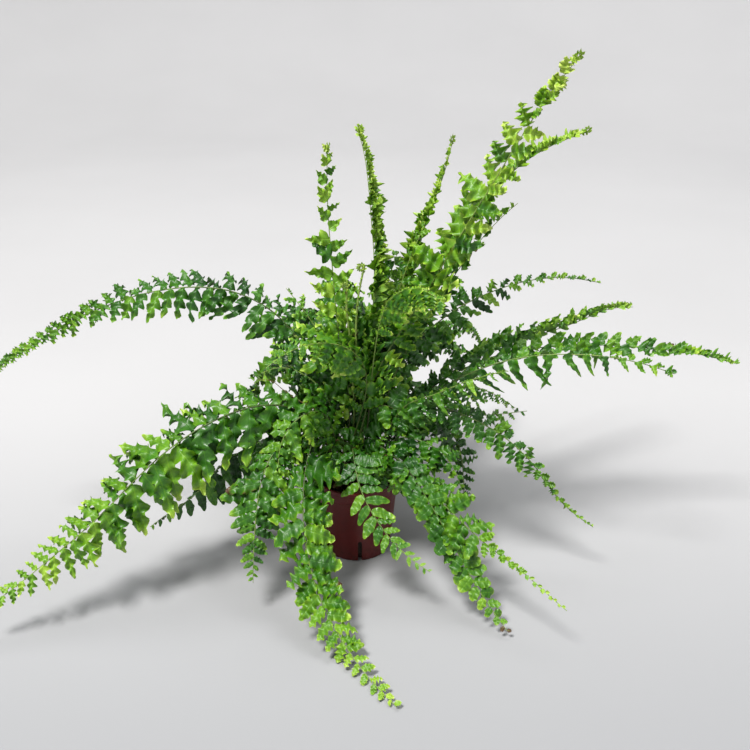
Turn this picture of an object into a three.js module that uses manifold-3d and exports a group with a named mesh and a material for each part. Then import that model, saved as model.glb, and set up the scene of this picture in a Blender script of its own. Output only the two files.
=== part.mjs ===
// A young sword fern growing in a small round nursery pot.
// Units are millimetres, +Z is up. The origin is the centre of the pot's underside,
// so the whole plant stands on the plane z = 0. -Y is the front.
import * as THREE from "three";
import { mergeVertices } from "three/addons/utils/BufferGeometryUtils.js";
import Module from "manifold-3d";

// ---- driving dimensions ----
const POT_HEIGHT = 58; // underside to the top of the rim
const RIM_RADIUS = 30; // outside of the rolled rim
const COLLAR_HEIGHT = 8; // the thicker band below the rim
const BASE_RADIUS = 23.5; // outside of the wall at the underside
const WALL = 0.95; // moulded plastic wall
const FLOOR = 1.5; // moulded plastic floor
const POT_SEGMENTS = 48;
const SLITS = 6; // tall drain slits round the base corner
const SLIT_WIDTH = 2.8;
const SLIT_HEIGHT = 17;
const SLIT_FIRST = -84; // degrees, azimuth of the slit that faces the front
const SOIL_TOP = 47.5; // surface of the potting soil
const SOIL_GAP = 0.35; // clearance between the soil plug and the pot
const CROWN_RADIUS = 18; // the scaly crown that every stipe rises from
const CROWN_TOP = 49.3;
const CROWN_BOTTOM = 41;

// Every frond is a closed, tapering body lofted along its midrib. One station is
// x, y, z of the midrib, half-width to the left, half-width to the right and half
// thickness. The half-widths alternate between pinna and gap, and the bare stipe is
// about 2 mm thick. face is the way the upper side of the blade is turned, and droop
// is how far the pinnae hang below the blade's own plane, in degrees.
const FRONDS = [
  { name: "frond_left_high", tone: "leaf", face: [0.311, -0.548, 0.777], droop: 20,
    stations: "-8.2,0.8,50,1,1,1.05;-9.8,0.9,60.2,1,1,1.04;-11.6,1,70.5,1,1,1.03;-13.6,1.2,80.6,1,1,1.01;-15.8,1.3,90.8,1,1,1;-18.2,1.5,100.8,0.7,0.7,0.99;-20.8,1.7,110.9,0.8,0.8,0.98;-23.6,1.9,120.9,0.7,0.7,0.97;-26.5,2.1,130.8,4.8,2.4,0.96;-30,2.4,140.6,3.3,8.1,0.94;-34.1,2.7,150.1,13.8,6.9,0.93;-39.2,3,159.1,7.4,14.9,0.92;-45.5,3.4,167.3,15.9,8,0.91;-52.9,4,174.6,8.5,17,0.9;-61.4,4.6,180.5,18.1,9,0.89;-70.6,5.2,185,9.6,19.1,0.87;-80.5,5.9,188.1,20.2,10.1,0.86;-90.7,6.6,189.6,10.1,20.2,0.85;-101.1,7.3,189.9,20.2,10.1,0.83;-111.4,8.1,189.2,10,20.1,0.8;-121.6,8.8,187.6,19.6,9.8,0.78;-131.7,9.5,185.5,9.4,18.7,0.76;-141.7,10.2,182.7,17.6,8.8,0.73;-151.5,10.9,179.3,8.2,16.3,0.71;-161.1,11.5,175.5,14.8,7.4,0.69;-170.5,12.2,171.2,6.6,13.3,0.66;-179.8,12.8,166.6,11.6,5.8,0.64;-188.9,13.5,161.7,5,10,0.61;-197.9,14.1,156.6,8.4,4.2,0.59;-206.9,14.7,151.5,3.5,6.9,0.57;-215.8,15.4,146.2,5.6,2.8,0.54;-224.6,16,140.7,2.2,4.5,0.52;-233.2,16.6,134.9,3.6,1.8,0.5;-241.5,17.1,128.8,1.5,3,0.47;-249.8,17.7,122.5,0.6,0.6,0.45" },
  { name: "frond_left_low", tone: "leaf", face: [0.295, -0.533, 0.793], droop: 20,
    stations: "-14.5,-6.9,50,1,1,1.05;-15.9,-7.6,58.8,1,1,1.04;-17.5,-8.4,67.6,1,1,1.03;-19.5,-9.3,76.3,1,1,1.01;-21.9,-10.3,84.8,0.8,0.8,1;-24.8,-11.6,93.2,4.6,7.3,0.99;-28.3,-13.2,101.3,9.8,3.1,0.98;-32.8,-15.2,108.7,4.2,6.8,0.97;-38.5,-17.9,114.9,7.2,5.7,0.96;-45.6,-21.2,119.3,6,12,0.94;-53.3,-24.8,122,16,10,0.93;-61.3,-28.6,123.1,13.2,26.4,0.92;-69.4,-32.4,122.9,27.8,13.9,0.91;-77.5,-36.1,121.8,14.6,29.2,0.9;-85.3,-39.8,119.7,30.4,15.2,0.89;-93,-43.4,116.9,15.2,30.4,0.87;-100.5,-46.9,113.6,30.4,15.2,0.86;-107.8,-50.3,109.6,15.1,30.2,0.85;-114.9,-53.6,105.2,29.6,14.8,0.83;-121.6,-56.7,100.3,14.3,28.6,0.8;-128.2,-59.8,95,27.2,13.6,0.78;-134.5,-62.7,89.5,12.8,25.6,0.76;-140.8,-65.6,83.8,23.8,11.9,0.73;-147,-68.5,78,10.9,21.8,0.71;-153.3,-71.5,72.4,19.6,9.8,0.69;-159.7,-74.5,66.9,8.7,17.5,0.66;-166.3,-77.5,61.7,15.3,7.6,0.64;-173,-80.7,56.7,6.6,13.1,0.61;-179.8,-83.8,51.9,11.1,5.6,0.59;-186.6,-87,47,4.6,9.2,0.57;-193.5,-90.2,42.2,7.6,3.8,0.54;-200.4,-93.4,37.5,3.1,6.2,0.52;-207.4,-96.7,33,5.2,2.6,0.5;-214.5,-100,28.8,2.2,4.5,0.47;-221.7,-103.4,24.7,0.6,0.6,0.45" },
  { name: "frond_left_low_small", tone: "leaf", face: [0.28, -0.175, 0.944], droop: 48,
    stations: "-11.4,-4.4,50,1,1,1.05;-12.8,-4.8,59,1,1,1.03;-15.9,-5.5,67.5,1,1,1.01;-20.8,-6.6,75,1,1,0.99;-26.9,-8,81.6,11.2,5.6,0.97;-33.7,-9.6,87.4,6.5,13,0.94;-41.4,-11.4,91.9,14.9,7.5,0.92;-50,-13.4,93.6,8.4,16.8,0.9;-58.8,-15.4,92.2,18.7,9.4,0.88;-67,-17.3,89,10.1,20.2,0.86;-75,-19.1,85.1,20.2,10.1,0.83;-82.7,-20.9,80.6,9.8,19.6,0.79;-89.7,-22.5,75,18,9,0.74;-95.7,-23.9,68.3,7.9,15.7,0.7;-101.5,-25.2,61.4,13,6.5,0.66;-107.9,-26.7,55.1,5,10.1,0.62;-115.1,-28.4,49.9,7.3,3.7,0.58;-122.7,-30.1,45.2,2.5,5,0.53;-130.2,-31.8,40.3,3.4,1.7,0.49;-137.4,-33.5,35.1,0.6,0.6,0.45" },
  { name: "frond_front_left_outer", tone: "leaf", face: [0.179, -0.498, 0.848], droop: 8,
    stations: "-9.2,-13.1,50,1,1,1.05;-10,-14.1,59,1,1,1.03;-11.3,-15.4,67.9,0.7,0.7,1.01;-13.4,-17.2,76.6,1.3,2.6,0.99;-16.2,-19.1,85,3,1.2,0.97;-20,-20.7,93.1,1.7,2.7,0.94;-25.5,-22.7,100,4.7,2.4,0.92;-33.1,-25.8,103.5,2.1,6.5,0.9;-41,-30.1,102.4,8.7,6.8,0.88;-47.6,-35,98.6,1.8,3.6,0.86;-52.7,-40.5,93.5,3.5,2.2,0.83;-56.2,-46.6,87.7,1.6,4.1,0.79;-58.5,-52.7,81.4,13.9,8.7,0.74;-60.1,-58.1,74.3,5.9,14.9,0.7;-61.1,-62.5,66.4,12.2,6.1,0.66;-61.9,-66.2,58.1,4.7,9.4,0.62;-62.6,-69.5,49.7,6.9,3.5,0.58;-63.2,-72.6,41.1,2.4,4.9,0.53;-63.5,-75.6,32.6,3.5,1.7,0.49;-63.7,-78.6,24,0.6,0.6,0.45" },
  { name: "frond_front_left_inner", tone: "leaf", face: [0.161, -0.527, 0.834], droop: 10,
    stations: "-8.2,-9.1,50,1,1,1.05;-8.9,-9.9,59.2,1,1,1.03;-10,-10.6,68.4,0.8,0.8,1;-11.4,-11.2,77.5,2.5,5,0.98;-12.9,-12.1,86.6,3.7,1.5,0.96;-14.3,-14.1,95.5,2.6,4.1,0.93;-16.1,-16.6,104.2,9,7,0.91;-19.6,-19.7,112.2,9.7,12.4,0.89;-26.1,-23.9,116.9,19.3,9.7,0.86;-33.9,-28.5,115.8,9.4,15.1,0.83;-40.6,-32.8,111,13.9,5.6,0.78;-45.2,-36.6,104,4.9,12.2,0.73;-47.7,-40,95.8,2.6,1.3,0.69;-48.3,-43.5,87.3,0.8,1.6,0.64;-47.7,-46.8,78.7,5.7,2.8,0.59;-46.5,-49.5,69.9,2.4,4.9,0.54;-45.3,-51.7,61,3.3,1.6,0.5;-44.1,-53.6,52,0.6,0.6,0.45" },
  { name: "frond_front_long", tone: "leaf", face: [0.051, -0.651, 0.757], droop: 12,
    stations: "-2.6,-15.8,50,1,1,1.05;-3.2,-15.4,58.9,0.8,0.8,0.96;-4.1,-13.9,67.6,0.8,0.8,0.95;-5.3,-10.9,75.8,0.7,0.7,0.94;-7.1,-6.9,83.5,1.9,1.2,1;-10,-3,90.9,0.7,0.7,0.85;-15.3,-2.5,97.7,0.8,0.7,0.84;-20.8,-8.9,99.7,0.8,3.1,0.96;-24.6,-16.8,98.5,2.7,1.1,0.94;-27.3,-24.9,95.9,2.2,4.4,0.93;-29.2,-32.7,92.4,9.2,4.6,0.92;-30.6,-40.3,87.9,6.1,9.8,0.9;-31.5,-47.4,82.8,16.1,5.2,0.89;-32,-54.2,77,10.1,16.2,0.88;-32,-60.5,70.8,20.2,8.1,0.86;-31.6,-66.5,64.3,10,20.1,0.85;-30.8,-72.4,57.6,19.6,9.8,0.82;-29.5,-78,50.9,9.4,18.8,0.8;-27.7,-83.5,44.2,17.7,8.8,0.77;-25.4,-88.9,37.5,8.2,16.4,0.74;-22.5,-94.3,31.1,14.9,7.4,0.72;-19,-99.9,25.1,6.7,13.3,0.69;-15,-105.6,19.7,11.7,5.8,0.66;-10.6,-111.8,15,5,10,0.64;-6,-118.2,11.1,8.4,4.2,0.61;-1.1,-125,8.1,3.5,6.9,0.58;3.8,-132,5.8,5.6,2.8,0.56;8.9,-139.1,4.2,2.2,4.5,0.53;14.2,-146.2,3.2,3.6,1.8,0.5;19.7,-153.1,2.6,1.5,3,0.48;25.2,-160.1,2.2,0.6,0.6,0.45" },
  { name: "frond_front_center", tone: "leaf", face: [-0.031, -0.696, 0.718], droop: 6,
    stations: "3.6,-15.6,50,1,1,1.05;3.8,-16.6,58.9,1,1,1.03;3.1,-16.9,67.7,0.7,0.7,1;1.5,-16.5,76.5,1.5,3,0.98;-0.8,-17.1,85,3.5,2.2,0.95;-1.6,-23.9,89.1,6,12.1,0.92;-0.5,-32.1,85.9,13.5,6.7,0.9;0.9,-39.4,81,7.1,14.3,0.88;3,-45.8,75.3,14.2,7.1,0.85;6.3,-51.3,69,6.7,13.4,0.8;10.4,-55.7,62.5,11.9,5.9,0.75;15.2,-59.8,56.2,5,9.9,0.7;20.4,-63.9,50.3,7.7,3.9,0.65;26.3,-68.2,45.1,2.8,5.6,0.6;32.8,-72.4,40.7,3.8,1.9,0.55;39.8,-76.5,37,1.2,2.5,0.5;47.1,-80.6,34,0.6,0.6,0.45" },
  { name: "frond_right_front", tone: "leaf", face: [-0.128, -0.721, 0.681], droop: 8,
    stations: "11.9,-10.7,50,1,1,1.05;12.5,-11,58.9,1,1,1.03;12.6,-11,67.9,0.8,0.8,1.01;12.5,-11,76.8,2.6,5.3,1;14.4,-12.8,85.2,2,1,0.98;20.8,-18.7,85.5,1.4,3.4,0.96;27,-24.3,82.3,3.7,2.3,0.94;33,-29.7,78.4,6.2,15.5,0.92;39,-35.1,74.5,13.5,8.4,0.9;45,-40.5,70.7,9,17.9,0.89;51.1,-46,67.1,9.2,7.2,0.87;57.3,-51.6,63.7,3.6,7.3,0.85;63.4,-57.1,60.2,8.8,4.4,0.81;69.5,-62.6,56.5,8,10.2,0.78;75.6,-68.1,52.9,14.4,7.2,0.74;81.9,-73.7,50,6.3,12.6,0.7;88.3,-79.5,47.7,10.6,5.3,0.67;94.8,-85.4,45.7,4.3,8.6,0.63;101.2,-91.1,43.4,6.7,3.4,0.6;107.5,-96.8,40.4,2.5,5.1,0.56;113.7,-102.4,37.1,3.7,1.9,0.52;119.9,-108,33.9,1.4,2.8,0.49;126.2,-113.6,30.9,0.6,0.6,0.45" },
  { name: "frond_right_front_low", tone: "leaf", face: [-0.133, -0.582, 0.802], droop: 8,
    stations: "8,-9.2,50,1,1,1.05;8.9,-10.5,58.8,0.8,0.8,0.96;10.8,-12.7,67.2,0.7,0.7,0.81;13.9,-16,74.9,0.7,0.7,0.8;18.2,-20.4,81.4,1,0.7,0.97;23.6,-26,85.5,1.1,2.7,0.95;29.6,-32.4,85.2,9.2,4.6,0.93;35,-38.1,81,5.1,10.1,0.91;39.8,-43.3,75.6,11,5.5,0.89;44.5,-48.3,69.9,4.6,11.5,0.87;49.1,-53.2,64,5.9,2.9,0.85;53.5,-58.1,58,2.3,5.7,0.81;57.9,-62.7,51.7,5.3,2.6,0.77;62.1,-67.2,45.2,2.9,5.9,0.73;66.3,-71.7,38.7,7.9,3.9,0.69;70.5,-76.2,32.3,3.2,6.4,0.65;74.9,-80.9,26.1,5,2.5,0.61;79.6,-85.9,20.4,1.8,3.7,0.57;84.4,-91.2,15.1,2.6,1.3,0.53;89.5,-96.6,10,1,1.9,0.49;94.5,-102,5.1,0.6,0.6,0.45" },
  { name: "frond_right_drooping", tone: "leaf", face: [-0.269, -0.295, 0.917], droop: 8,
    stations: "11.8,-3.2,50,1,1,1.05;13,-3.5,58.9,1,1,1.03;14.5,-3.8,67.7,1,1,1.02;16.3,-4.1,76.4,0.7,0.7,0.87;18.6,-4.4,85.1,0.7,0.7,0.85;21.6,-4.6,93.5,1,1,0.97;25.8,-5.1,101.4,0.7,0.7,0.95;31.5,-6.2,108.1,0.9,1.8,0.94;38.8,-8.4,112.7,1.3,0.7,0.92;47.1,-10.7,114.7,1.4,2.8,0.91;55.8,-12.7,114.4,3.8,1.9,0.89;64.3,-14.5,112.3,5,10.1,0.87;72.6,-16.2,109.4,13.6,6.8,0.86;80.7,-17.9,106,6.9,13.8,0.83;88.6,-19.5,102.1,13.8,6.9,0.8;96.1,-21.1,97.5,6.7,13.3,0.77;103.1,-22.6,92.2,12.5,6.2,0.74;109.6,-24,86.2,5.7,11.3,0.71;115.7,-25.3,79.8,9.9,4.9,0.67;121.3,-26.5,72.9,4.2,8.4,0.64;126.5,-27.6,65.7,6.8,3.4,0.61;131.7,-28.7,58.5,2.7,5.3,0.58;137.4,-29.9,51.8,4,2,0.55;143.9,-31.3,45.8,1.5,2.9,0.51;151,-32.8,40.5,2.2,1.1,0.48;158.4,-34.4,35.7,0.6,0.6,0.45" },
  { name: "frond_right_long", tone: "leaf", face: [-0.288, -0.584, 0.759], droop: 4,
    stations: "12.2,0.4,50,1,1,1.05;14.3,0.5,58.9,1,1,1.04;16.8,0.7,67.6,1,1,1.03;20,1.1,76.2,1,1,1.01;23.8,1.5,84.4,1,1,1;28.2,1.9,92.4,1,1,0.99;33.1,2.5,100.1,1,1,0.98;38.5,3.1,107.4,1,1,0.97;44.4,3.7,114.2,5.6,2.8,0.95;51.1,4.4,120.4,2.5,4.9,0.94;58.4,5.2,125.7,6.7,3.3,0.93;66.3,6,130.3,3.6,7.2,0.92;74.4,6.9,134.3,7.7,3.9,0.9;82.8,7.8,137.8,4.1,10.3,0.89;91.3,8.7,140.8,10.9,5.5,0.88;100.1,9.6,143.2,5.8,11.6,0.87;109,10.5,144.7,12,6,0.86;118,11.5,145.7,6,12,0.84;127.1,12.4,146.2,11.9,6,0.81;136.1,13.4,146.5,5.9,11.7,0.79;145.2,14.3,146.6,11.3,5.6,0.77;154.2,15.3,146.4,5.3,10.7,0.74;163.3,16.2,146,9.9,5,0.72;172.3,17.2,145.2,4.5,9,0.69;181.3,18.1,144.2,8.1,4,0.67;190.3,19.1,143,3.6,7.1,0.64;199.3,20,141.8,6.1,3.1,0.62;208.3,21,140.5,2.6,5.1,0.6;217.2,21.9,139.1,4.2,2.1,0.57;226.1,22.8,137.4,1.7,3.4,0.55;235,23.8,135.4,2.7,1.3,0.52;243.7,24.7,133.1,1.1,2.1,0.5;252.4,25.6,130.4,1.8,1,0.47;261,26.5,127.5,0.6,0.6,0.45" },
  { name: "frond_right_long_lower", tone: "leaf", face: [-0.281, -0.358, 0.89], droop: 38,
    stations: "15.8,-2.8,50,1,1,1.05;17.4,-3.1,58.7,1,1,1.04;19.6,-3.4,67.3,1,1,1.02;22.6,-4,75.6,1,1,1.01;26.4,-4.6,83.6,1,1,0.99;30.5,-5.2,91.4,0.8,0.8,0.98;35.1,-5.8,99,6.9,3.5,0.96;39.9,-6.5,106.3,3.9,9.7,0.95;45.1,-7.3,113.5,2.8,1.8,0.93;50.7,-8.4,120.2,1.2,3.8,0.92;56.9,-9.7,126.4,10.2,5.1,0.9;63.7,-11.1,132,6.9,17.2,0.89;70.9,-12.5,136.9,14.8,9.2,0.87;78.4,-13.8,141.4,9.7,19.3,0.86;86.2,-15.2,145.4,19.3,9.7,0.84;94.3,-16.6,148.7,9.6,19.2,0.81;102.6,-18.1,151.5,18.5,9.3,0.78;111.1,-19.6,153.6,8.7,17.4,0.75;119.7,-21.1,155.2,15.9,8,0.72;128.3,-22.6,156.3,7.1,14.2,0.69;137,-24.2,156.9,12.3,6.1,0.66;145.7,-25.7,157.2,5.2,10.3,0.63;154.5,-27.2,156.9,8.4,4.2,0.6;163.2,-28.8,156.2,3.3,6.6,0.57;171.8,-30.3,154.9,5.1,2.5,0.54;180.3,-31.8,153.2,1.9,3.8,0.51;188.8,-33.3,150.9,3,1.5,0.48;197.2,-34.8,148.4,0.6,0.6,0.45" },
  { name: "frond_right_rising", tone: "leaf", face: [-0.258, -0.232, 0.938], droop: -14,
    stations: "10,7,50,1,1,1.05;12,8.1,58.6,1,1,1.04;14.9,9.6,66.9,1,1,1.02;19.1,11.8,74.5,1,1,1.01;24.1,14.4,81.3,1,1,0.99;29.8,17.4,87.6,0.8,0.8,0.98;35.7,20.4,93.5,0.7,0.7,0.97;41.9,23.5,99.1,2.7,5.3,0.95;48.3,26.8,104.5,7.4,3.7,0.94;54.9,30.1,109.5,5.1,10.2,0.93;61.7,33.5,114.1,11.1,5.6,0.91;68.8,37.1,118.2,6,12.1,0.9;76.2,40.8,121.6,13,6.5,0.88;83.7,44.7,124.3,7,13.9,0.87;91.5,48.6,126.5,14.7,7.4,0.86;99.3,52.6,128,7.4,14.7,0.84;107.2,56.6,129.2,14.7,7.3,0.81;115.1,60.7,130,7.2,14.4,0.78;123,64.7,130.7,13.7,6.8,0.75;130.9,68.7,131.4,6.4,12.7,0.73;138.9,72.8,132.2,11.5,5.8,0.7;146.8,76.8,133,5.1,10.2,0.67;154.7,80.8,134.1,8.8,4.4,0.64;162.5,84.8,135.5,3.7,7.4,0.62;170.3,88.8,137.2,6,3,0.59;178.1,92.8,138.9,2.4,4.8,0.56;186,96.8,140.1,3.7,1.8,0.53;194,100.9,140.2,1.4,2.8,0.51;201.9,104.9,139.4,2.3,1.1,0.48;209.7,108.9,138,0.6,0.6,0.45" },
  { name: "frond_right_upper", tone: "leaf", face: [-0.246, -0.47, 0.848], droop: 14,
    stations: "8.2,0.4,50,1,1,1.05;9.5,0.5,59,1,1,1.04;10.9,0.7,68,1,1,1.02;12.5,1,77,1,1,1.01;14.2,1.4,85.9,1,1,0.99;16.1,1.8,94.8,1,1,0.98;18.2,2.3,103.6,7.3,3.7,0.96;20.4,2.8,112.4,4.1,8.2,0.95;23,3.4,121.1,5.8,2.9,0.93;26,4.1,129.7,4,8,0.92;29.8,5,137.9,10.8,5.4,0.9;34.5,6,145.6,3.8,11.7,0.89;40.3,7.2,152.6,6.5,4,0.87;46.7,8.6,158.8,3.4,8.5,0.86;53.7,10.1,164.5,10.6,8.3,0.84;61,11.6,169.7,8.2,16.5,0.81;68.6,13.3,174.3,15.9,8,0.78;76.6,15,178.3,7.5,15,0.75;84.9,16.7,181.7,13.7,6.9,0.72;93.3,18.5,184.5,6.1,12.2,0.69;102,20.3,186.9,10.6,5.3,0.66;110.7,22.2,188.5,4.5,8.9,0.63;119.5,24.1,189.5,7.3,3.6,0.6;128.4,26,189.7,2.9,5.7,0.57;137.3,27.9,189.2,4.3,2.2,0.54;146.1,29.7,187.9,1.6,3.3,0.51;154.8,31.6,185.9,2.6,1.3,0.48;163.4,33.4,183.6,0.6,0.6,0.45" },
  { name: "frond_tall_right", tone: "young", face: [-0.223, -0.616, 0.755], droop: 10,
    stations: "2.5,-3.1,50,1,1,1.05;3.5,-3.6,59.1,1,1,1.04;4.6,-4,68.3,1,1,1.03;5.8,-4.3,77.4,1,1,1.01;6.9,-4.7,86.5,0.7,0.7,0.7;7.9,-5.1,95.6,0.7,0.7,0.69;8.7,-5.4,104.8,0.7,0.7,0.68;9.7,-5.6,114,0.7,0.7,0.97;11.1,-5.6,123.1,6.1,3.1,0.96;13.3,-5.8,132,2.7,6.7,0.94;16.4,-6.2,140.6,9,5.6,0.93;20.1,-6.9,149,6.1,15.1,0.92;24.3,-7.8,157.2,16.2,8.1,0.91;28.7,-8.8,165.2,8.6,17.3,0.9;33.3,-9.7,173.1,18.3,9.2,0.89;37.8,-10.7,181.1,9.7,19.4,0.87;42.3,-11.6,189.1,20.2,10.1,0.86;46.6,-12.6,197.2,10.1,20.2,0.85;50.8,-13.4,205.3,20.2,10.1,0.83;54.9,-14.3,213.5,10,20,0.8;59.1,-15.2,221.6,19.4,9.7,0.78;63.3,-16.1,229.8,9.3,18.6,0.76;67.6,-17,237.9,17.5,8.7,0.73;71.9,-17.9,246,8.1,16.1,0.71;76.2,-18.9,254,14.7,7.3,0.69;80.5,-19.8,262.1,6.5,13.1,0.66;84.8,-20.7,270.2,11.5,5.7,0.64;89,-21.6,278.3,4.9,9.9,0.61;93.3,-22.5,286.4,8.3,4.1,0.59;97.7,-23.4,294.5,3.4,6.8,0.57;102.2,-24.4,302.4,5.5,2.8,0.54;106.9,-25.4,310.3,2.2,4.4,0.52;111.9,-26.4,318,3.6,1.8,0.5;117.1,-27.5,325.5,1.5,3,0.47;122.4,-28.7,332.9,0.6,0.6,0.45" },
  { name: "frond_tall_right_back", tone: "young", face: [-0.231, -0.522, 0.821], droop: 10,
    stations: "7.2,3.8,50,1,1,1.05;8.5,4.5,58.8,1,1,1.04;9.9,5.1,67.6,1,1,1.03;11.5,5.9,76.3,1,1,1.01;13.4,6.7,85,1,1,1;15.4,7.6,93.6,1,1,0.99;17.5,8.5,102.2,1,1,0.98;19.8,9.5,110.7,1,1,0.97;22.2,10.6,119.2,7.6,3.8,0.95;24.8,11.7,127.7,4.1,8.3,0.94;27.5,12.9,136,9,4.5,0.93;30.6,14.3,144.3,2.5,6.2,0.92;33.9,15.7,152.4,4.3,2.1,0.9;37.6,17.4,160.4,2.3,4.5,0.89;41.6,19.1,168.1,11.8,4.7,0.88;45.8,21,175.7,6.2,12.5,0.87;50.2,23,183.2,12.9,6.4,0.86;54.7,25,190.6,6.4,12.9,0.84;59.3,27,198,12.9,6.4,0.81;63.9,29.1,205.3,6.3,12.6,0.79;68.6,31.2,212.6,12.1,6.1,0.77;73.4,33.3,219.8,5.7,11.5,0.74;78.2,35.4,227,10.7,5.3,0.72;83.2,37.7,234,4.9,9.7,0.69;88.4,40,240.9,8.7,4.4,0.67;94,42.5,247.3,3.8,7.6,0.64;100,45.2,253.2,6.6,3.3,0.62;106.6,48.1,258.4,2.8,5.5,0.6;113.7,51.3,262.8,4.5,2.3,0.57;121.1,54.5,266.5,1.8,3.7,0.55;128.7,57.9,269.6,2.9,1.4,0.52;136.5,61.4,272.1,1.2,2.3,0.5;144.4,64.9,274.2,1.9,1,0.47;152.4,68.5,276,0.6,0.6,0.45" },
  { name: "frond_right_thin", tone: "leaf", face: [-0.258, -0.293, 0.921], droop: 15,
    stations: "7.6,-3.1,50,1,1,1.05;8.7,-3.5,58.8,1,1,1.03;10,-3.8,67.6,1,1,1.02;11.6,-4,76.4,1,1,1;13.3,-4.1,85.2,0.7,0.7,0.92;15.2,-4,93.9,0.7,0.7,0.9;17.2,-3.8,102.5,1,1,0.95;19.3,-3.7,111.2,0.7,0.7,0.81;21.6,-4,119.8,0.7,0.7,0.8;24,-4.5,128.4,1,1,0.91;26.8,-5,136.8,1,1,0.89;30.2,-5.4,145,1,1,0.87;34,-5.9,153.1,6.9,3.5,0.86;38.2,-6.3,160.9,4,8,0.83;42.6,-6.8,168.7,9.2,4.6,0.8;46.9,-7.2,176.4,5.1,10.3,0.77;51.2,-7.7,184.2,11,5.5,0.74;55.5,-8.2,192,5.5,11,0.71;59.9,-8.6,199.8,10.5,5.2,0.67;64.4,-9.1,207.5,4.7,9.3,0.64;69,-9.6,215,7.8,3.9,0.61;74,-10.1,222.4,3,6.1,0.58;79.2,-10.6,229.6,4.4,2.2,0.55;84.8,-11.2,236.5,1.5,2.9,0.51;90.8,-11.9,243.1,1.9,1,0.48;97.2,-12.5,249.2,0.6,0.6,0.45" },
  { name: "frond_upright_right", tone: "young", face: [-0.17, -0.31, 0.936], droop: 5,
    stations: "5.2,5.9,50.3,1,1,1.05;6.1,7.3,59.1,1,1,1.04;7.4,9.1,67.7,1,1,1.02;9.1,11.6,76.1,1,1,1.01;11.1,14.4,84.2,1,1,0.99;13.4,17.5,92.3,1,1,0.98;15.9,20.6,100.2,1,1,0.96;18.4,23.8,108.1,3.3,6.6,0.95;20.8,27,116.1,5.9,3,0.93;23.3,30.1,124.1,4.1,8.2,0.92;25.6,33,132.1,11.3,5.7,0.9;27.8,35.9,140.2,6.2,12.3,0.89;29.9,38.5,148.5,13.4,6.7,0.87;31.9,41.1,156.8,7.2,14.4,0.86;33.8,43.5,165.1,7.5,3.8,0.84;35.7,46,173.4,3.8,7.5,0.81;37.7,48.5,181.7,14.4,7.2,0.78;39.8,51.2,189.9,6.9,13.7,0.75;41.9,53.9,198.1,12.7,6.3,0.72;44.2,56.8,206.2,5.7,11.4,0.69;46.7,60.1,214.1,9.9,4.9,0.66;49.6,63.8,221.6,4.2,8.3,0.63;52.7,67.7,229,6.8,3.4,0.6;55.8,71.7,236.3,2.7,5.3,0.57;58.8,75.5,243.8,4,2,0.54;61.4,78.8,251.6,1.5,3,0.51;63.7,81.8,259.7,2.3,1.2,0.48;65.8,84.5,267.9,0.6,0.6,0.45" },
  { name: "frond_upright_center", tone: "young", face: [0.339, -0.132, 0.931], droop: 0,
    stations: "-2.3,3.3,50,1,1,1.05;-2.4,3.9,58.8,1,1,1.04;-2,4.1,67.6,1,1,1.02;-0.8,4,76.4,1,1,1.01;1,3.6,85,1,1,0.99;3,3.1,93.6,1,1,0.98;5,2.7,102.2,0.7,0.7,0.96;6.7,2.5,110.9,1.4,2.8,0.95;7.9,2.6,119.7,2,1,0.93;8.8,3,128.5,2.2,4.4,0.92;9.3,3.7,137.3,3.1,1.2,0.9;9.7,4.5,146,2.6,5.2,0.89;10.2,5.4,154.8,8.8,3.5,0.87;10.8,6.4,163.6,5.9,9.5,0.86;11.4,7.5,172.3,12,6,0.84;12,8.7,181.1,6,11.9,0.81;12.4,10.1,189.8,11.7,5.8,0.78;12.5,11.5,198.5,5.5,11,0.75;12.3,13.1,207.2,10.2,5.1,0.72;11.8,14.9,215.9,4.5,9.1,0.69;11.1,16.7,224.5,7.9,4,0.66;10.4,18.6,233.1,3.3,6.6,0.63;9.7,20.5,241.7,5.4,2.7,0.6;8.9,22.7,250.2,2.1,4.2,0.57;8,24.9,258.7,3.2,1.6,0.54;6.7,27.3,267.1,1.2,2.4,0.51;4.8,29.7,275.4,1.9,1,0.48;2.4,32,283.6,0.6,0.6,0.45" },
  { name: "frond_upright_left", tone: "young", face: [0.078, -0.806, 0.587], droop: 0,
    stations: "-3.3,-2.2,50,1,1,1.05;-4.1,-2.9,59,1,1,1.03;-4.6,-3.3,68.1,1,1,1.02;-4.8,-3.2,77.2,1,1,1;-4.7,-2.5,86.2,0.8,0.8,0.99;-4.4,-1.5,95.2,0.7,0.7,0.97;-4,-0.4,104.2,4.5,2.3,0.95;-4.2,0.3,113.3,2.5,5.1,0.94;-5,1,122.3,11,4.4,0.92;-6.3,1.8,131.3,4.9,12.2,0.91;-7.7,2.7,140.2,10.6,6.6,0.89;-9.1,3.7,149.1,9,18,0.87;-10.4,4.7,158.1,19.3,9.7,0.86;-11.4,5.6,167,9.7,19.3,0.83;-12.3,6.7,176,19.2,9.6,0.8;-13,7.8,185,9.2,18.5,0.77;-13.6,9,194,17.2,8.6,0.74;-14.2,10.4,202.9,7.8,15.6,0.71;-14.9,11.8,211.9,13.6,6.8,0.67;-15.5,13.3,220.8,5.7,11.5,0.64;-16.1,14.7,229.8,9.3,4.7,0.61;-16.5,16.2,238.7,3.6,7.3,0.58;-16.7,17.8,247.7,5.5,2.7,0.55;-16.8,19.5,256.6,2,4,0.51;-16.5,21.2,265.5,3.1,1.5,0.48;-15.9,23,274.4,0.6,0.6,0.45" },
  { name: "fiddlehead_center", tone: "young", face: [-0.069, -0.089, 0.994], droop: 0,
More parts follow.
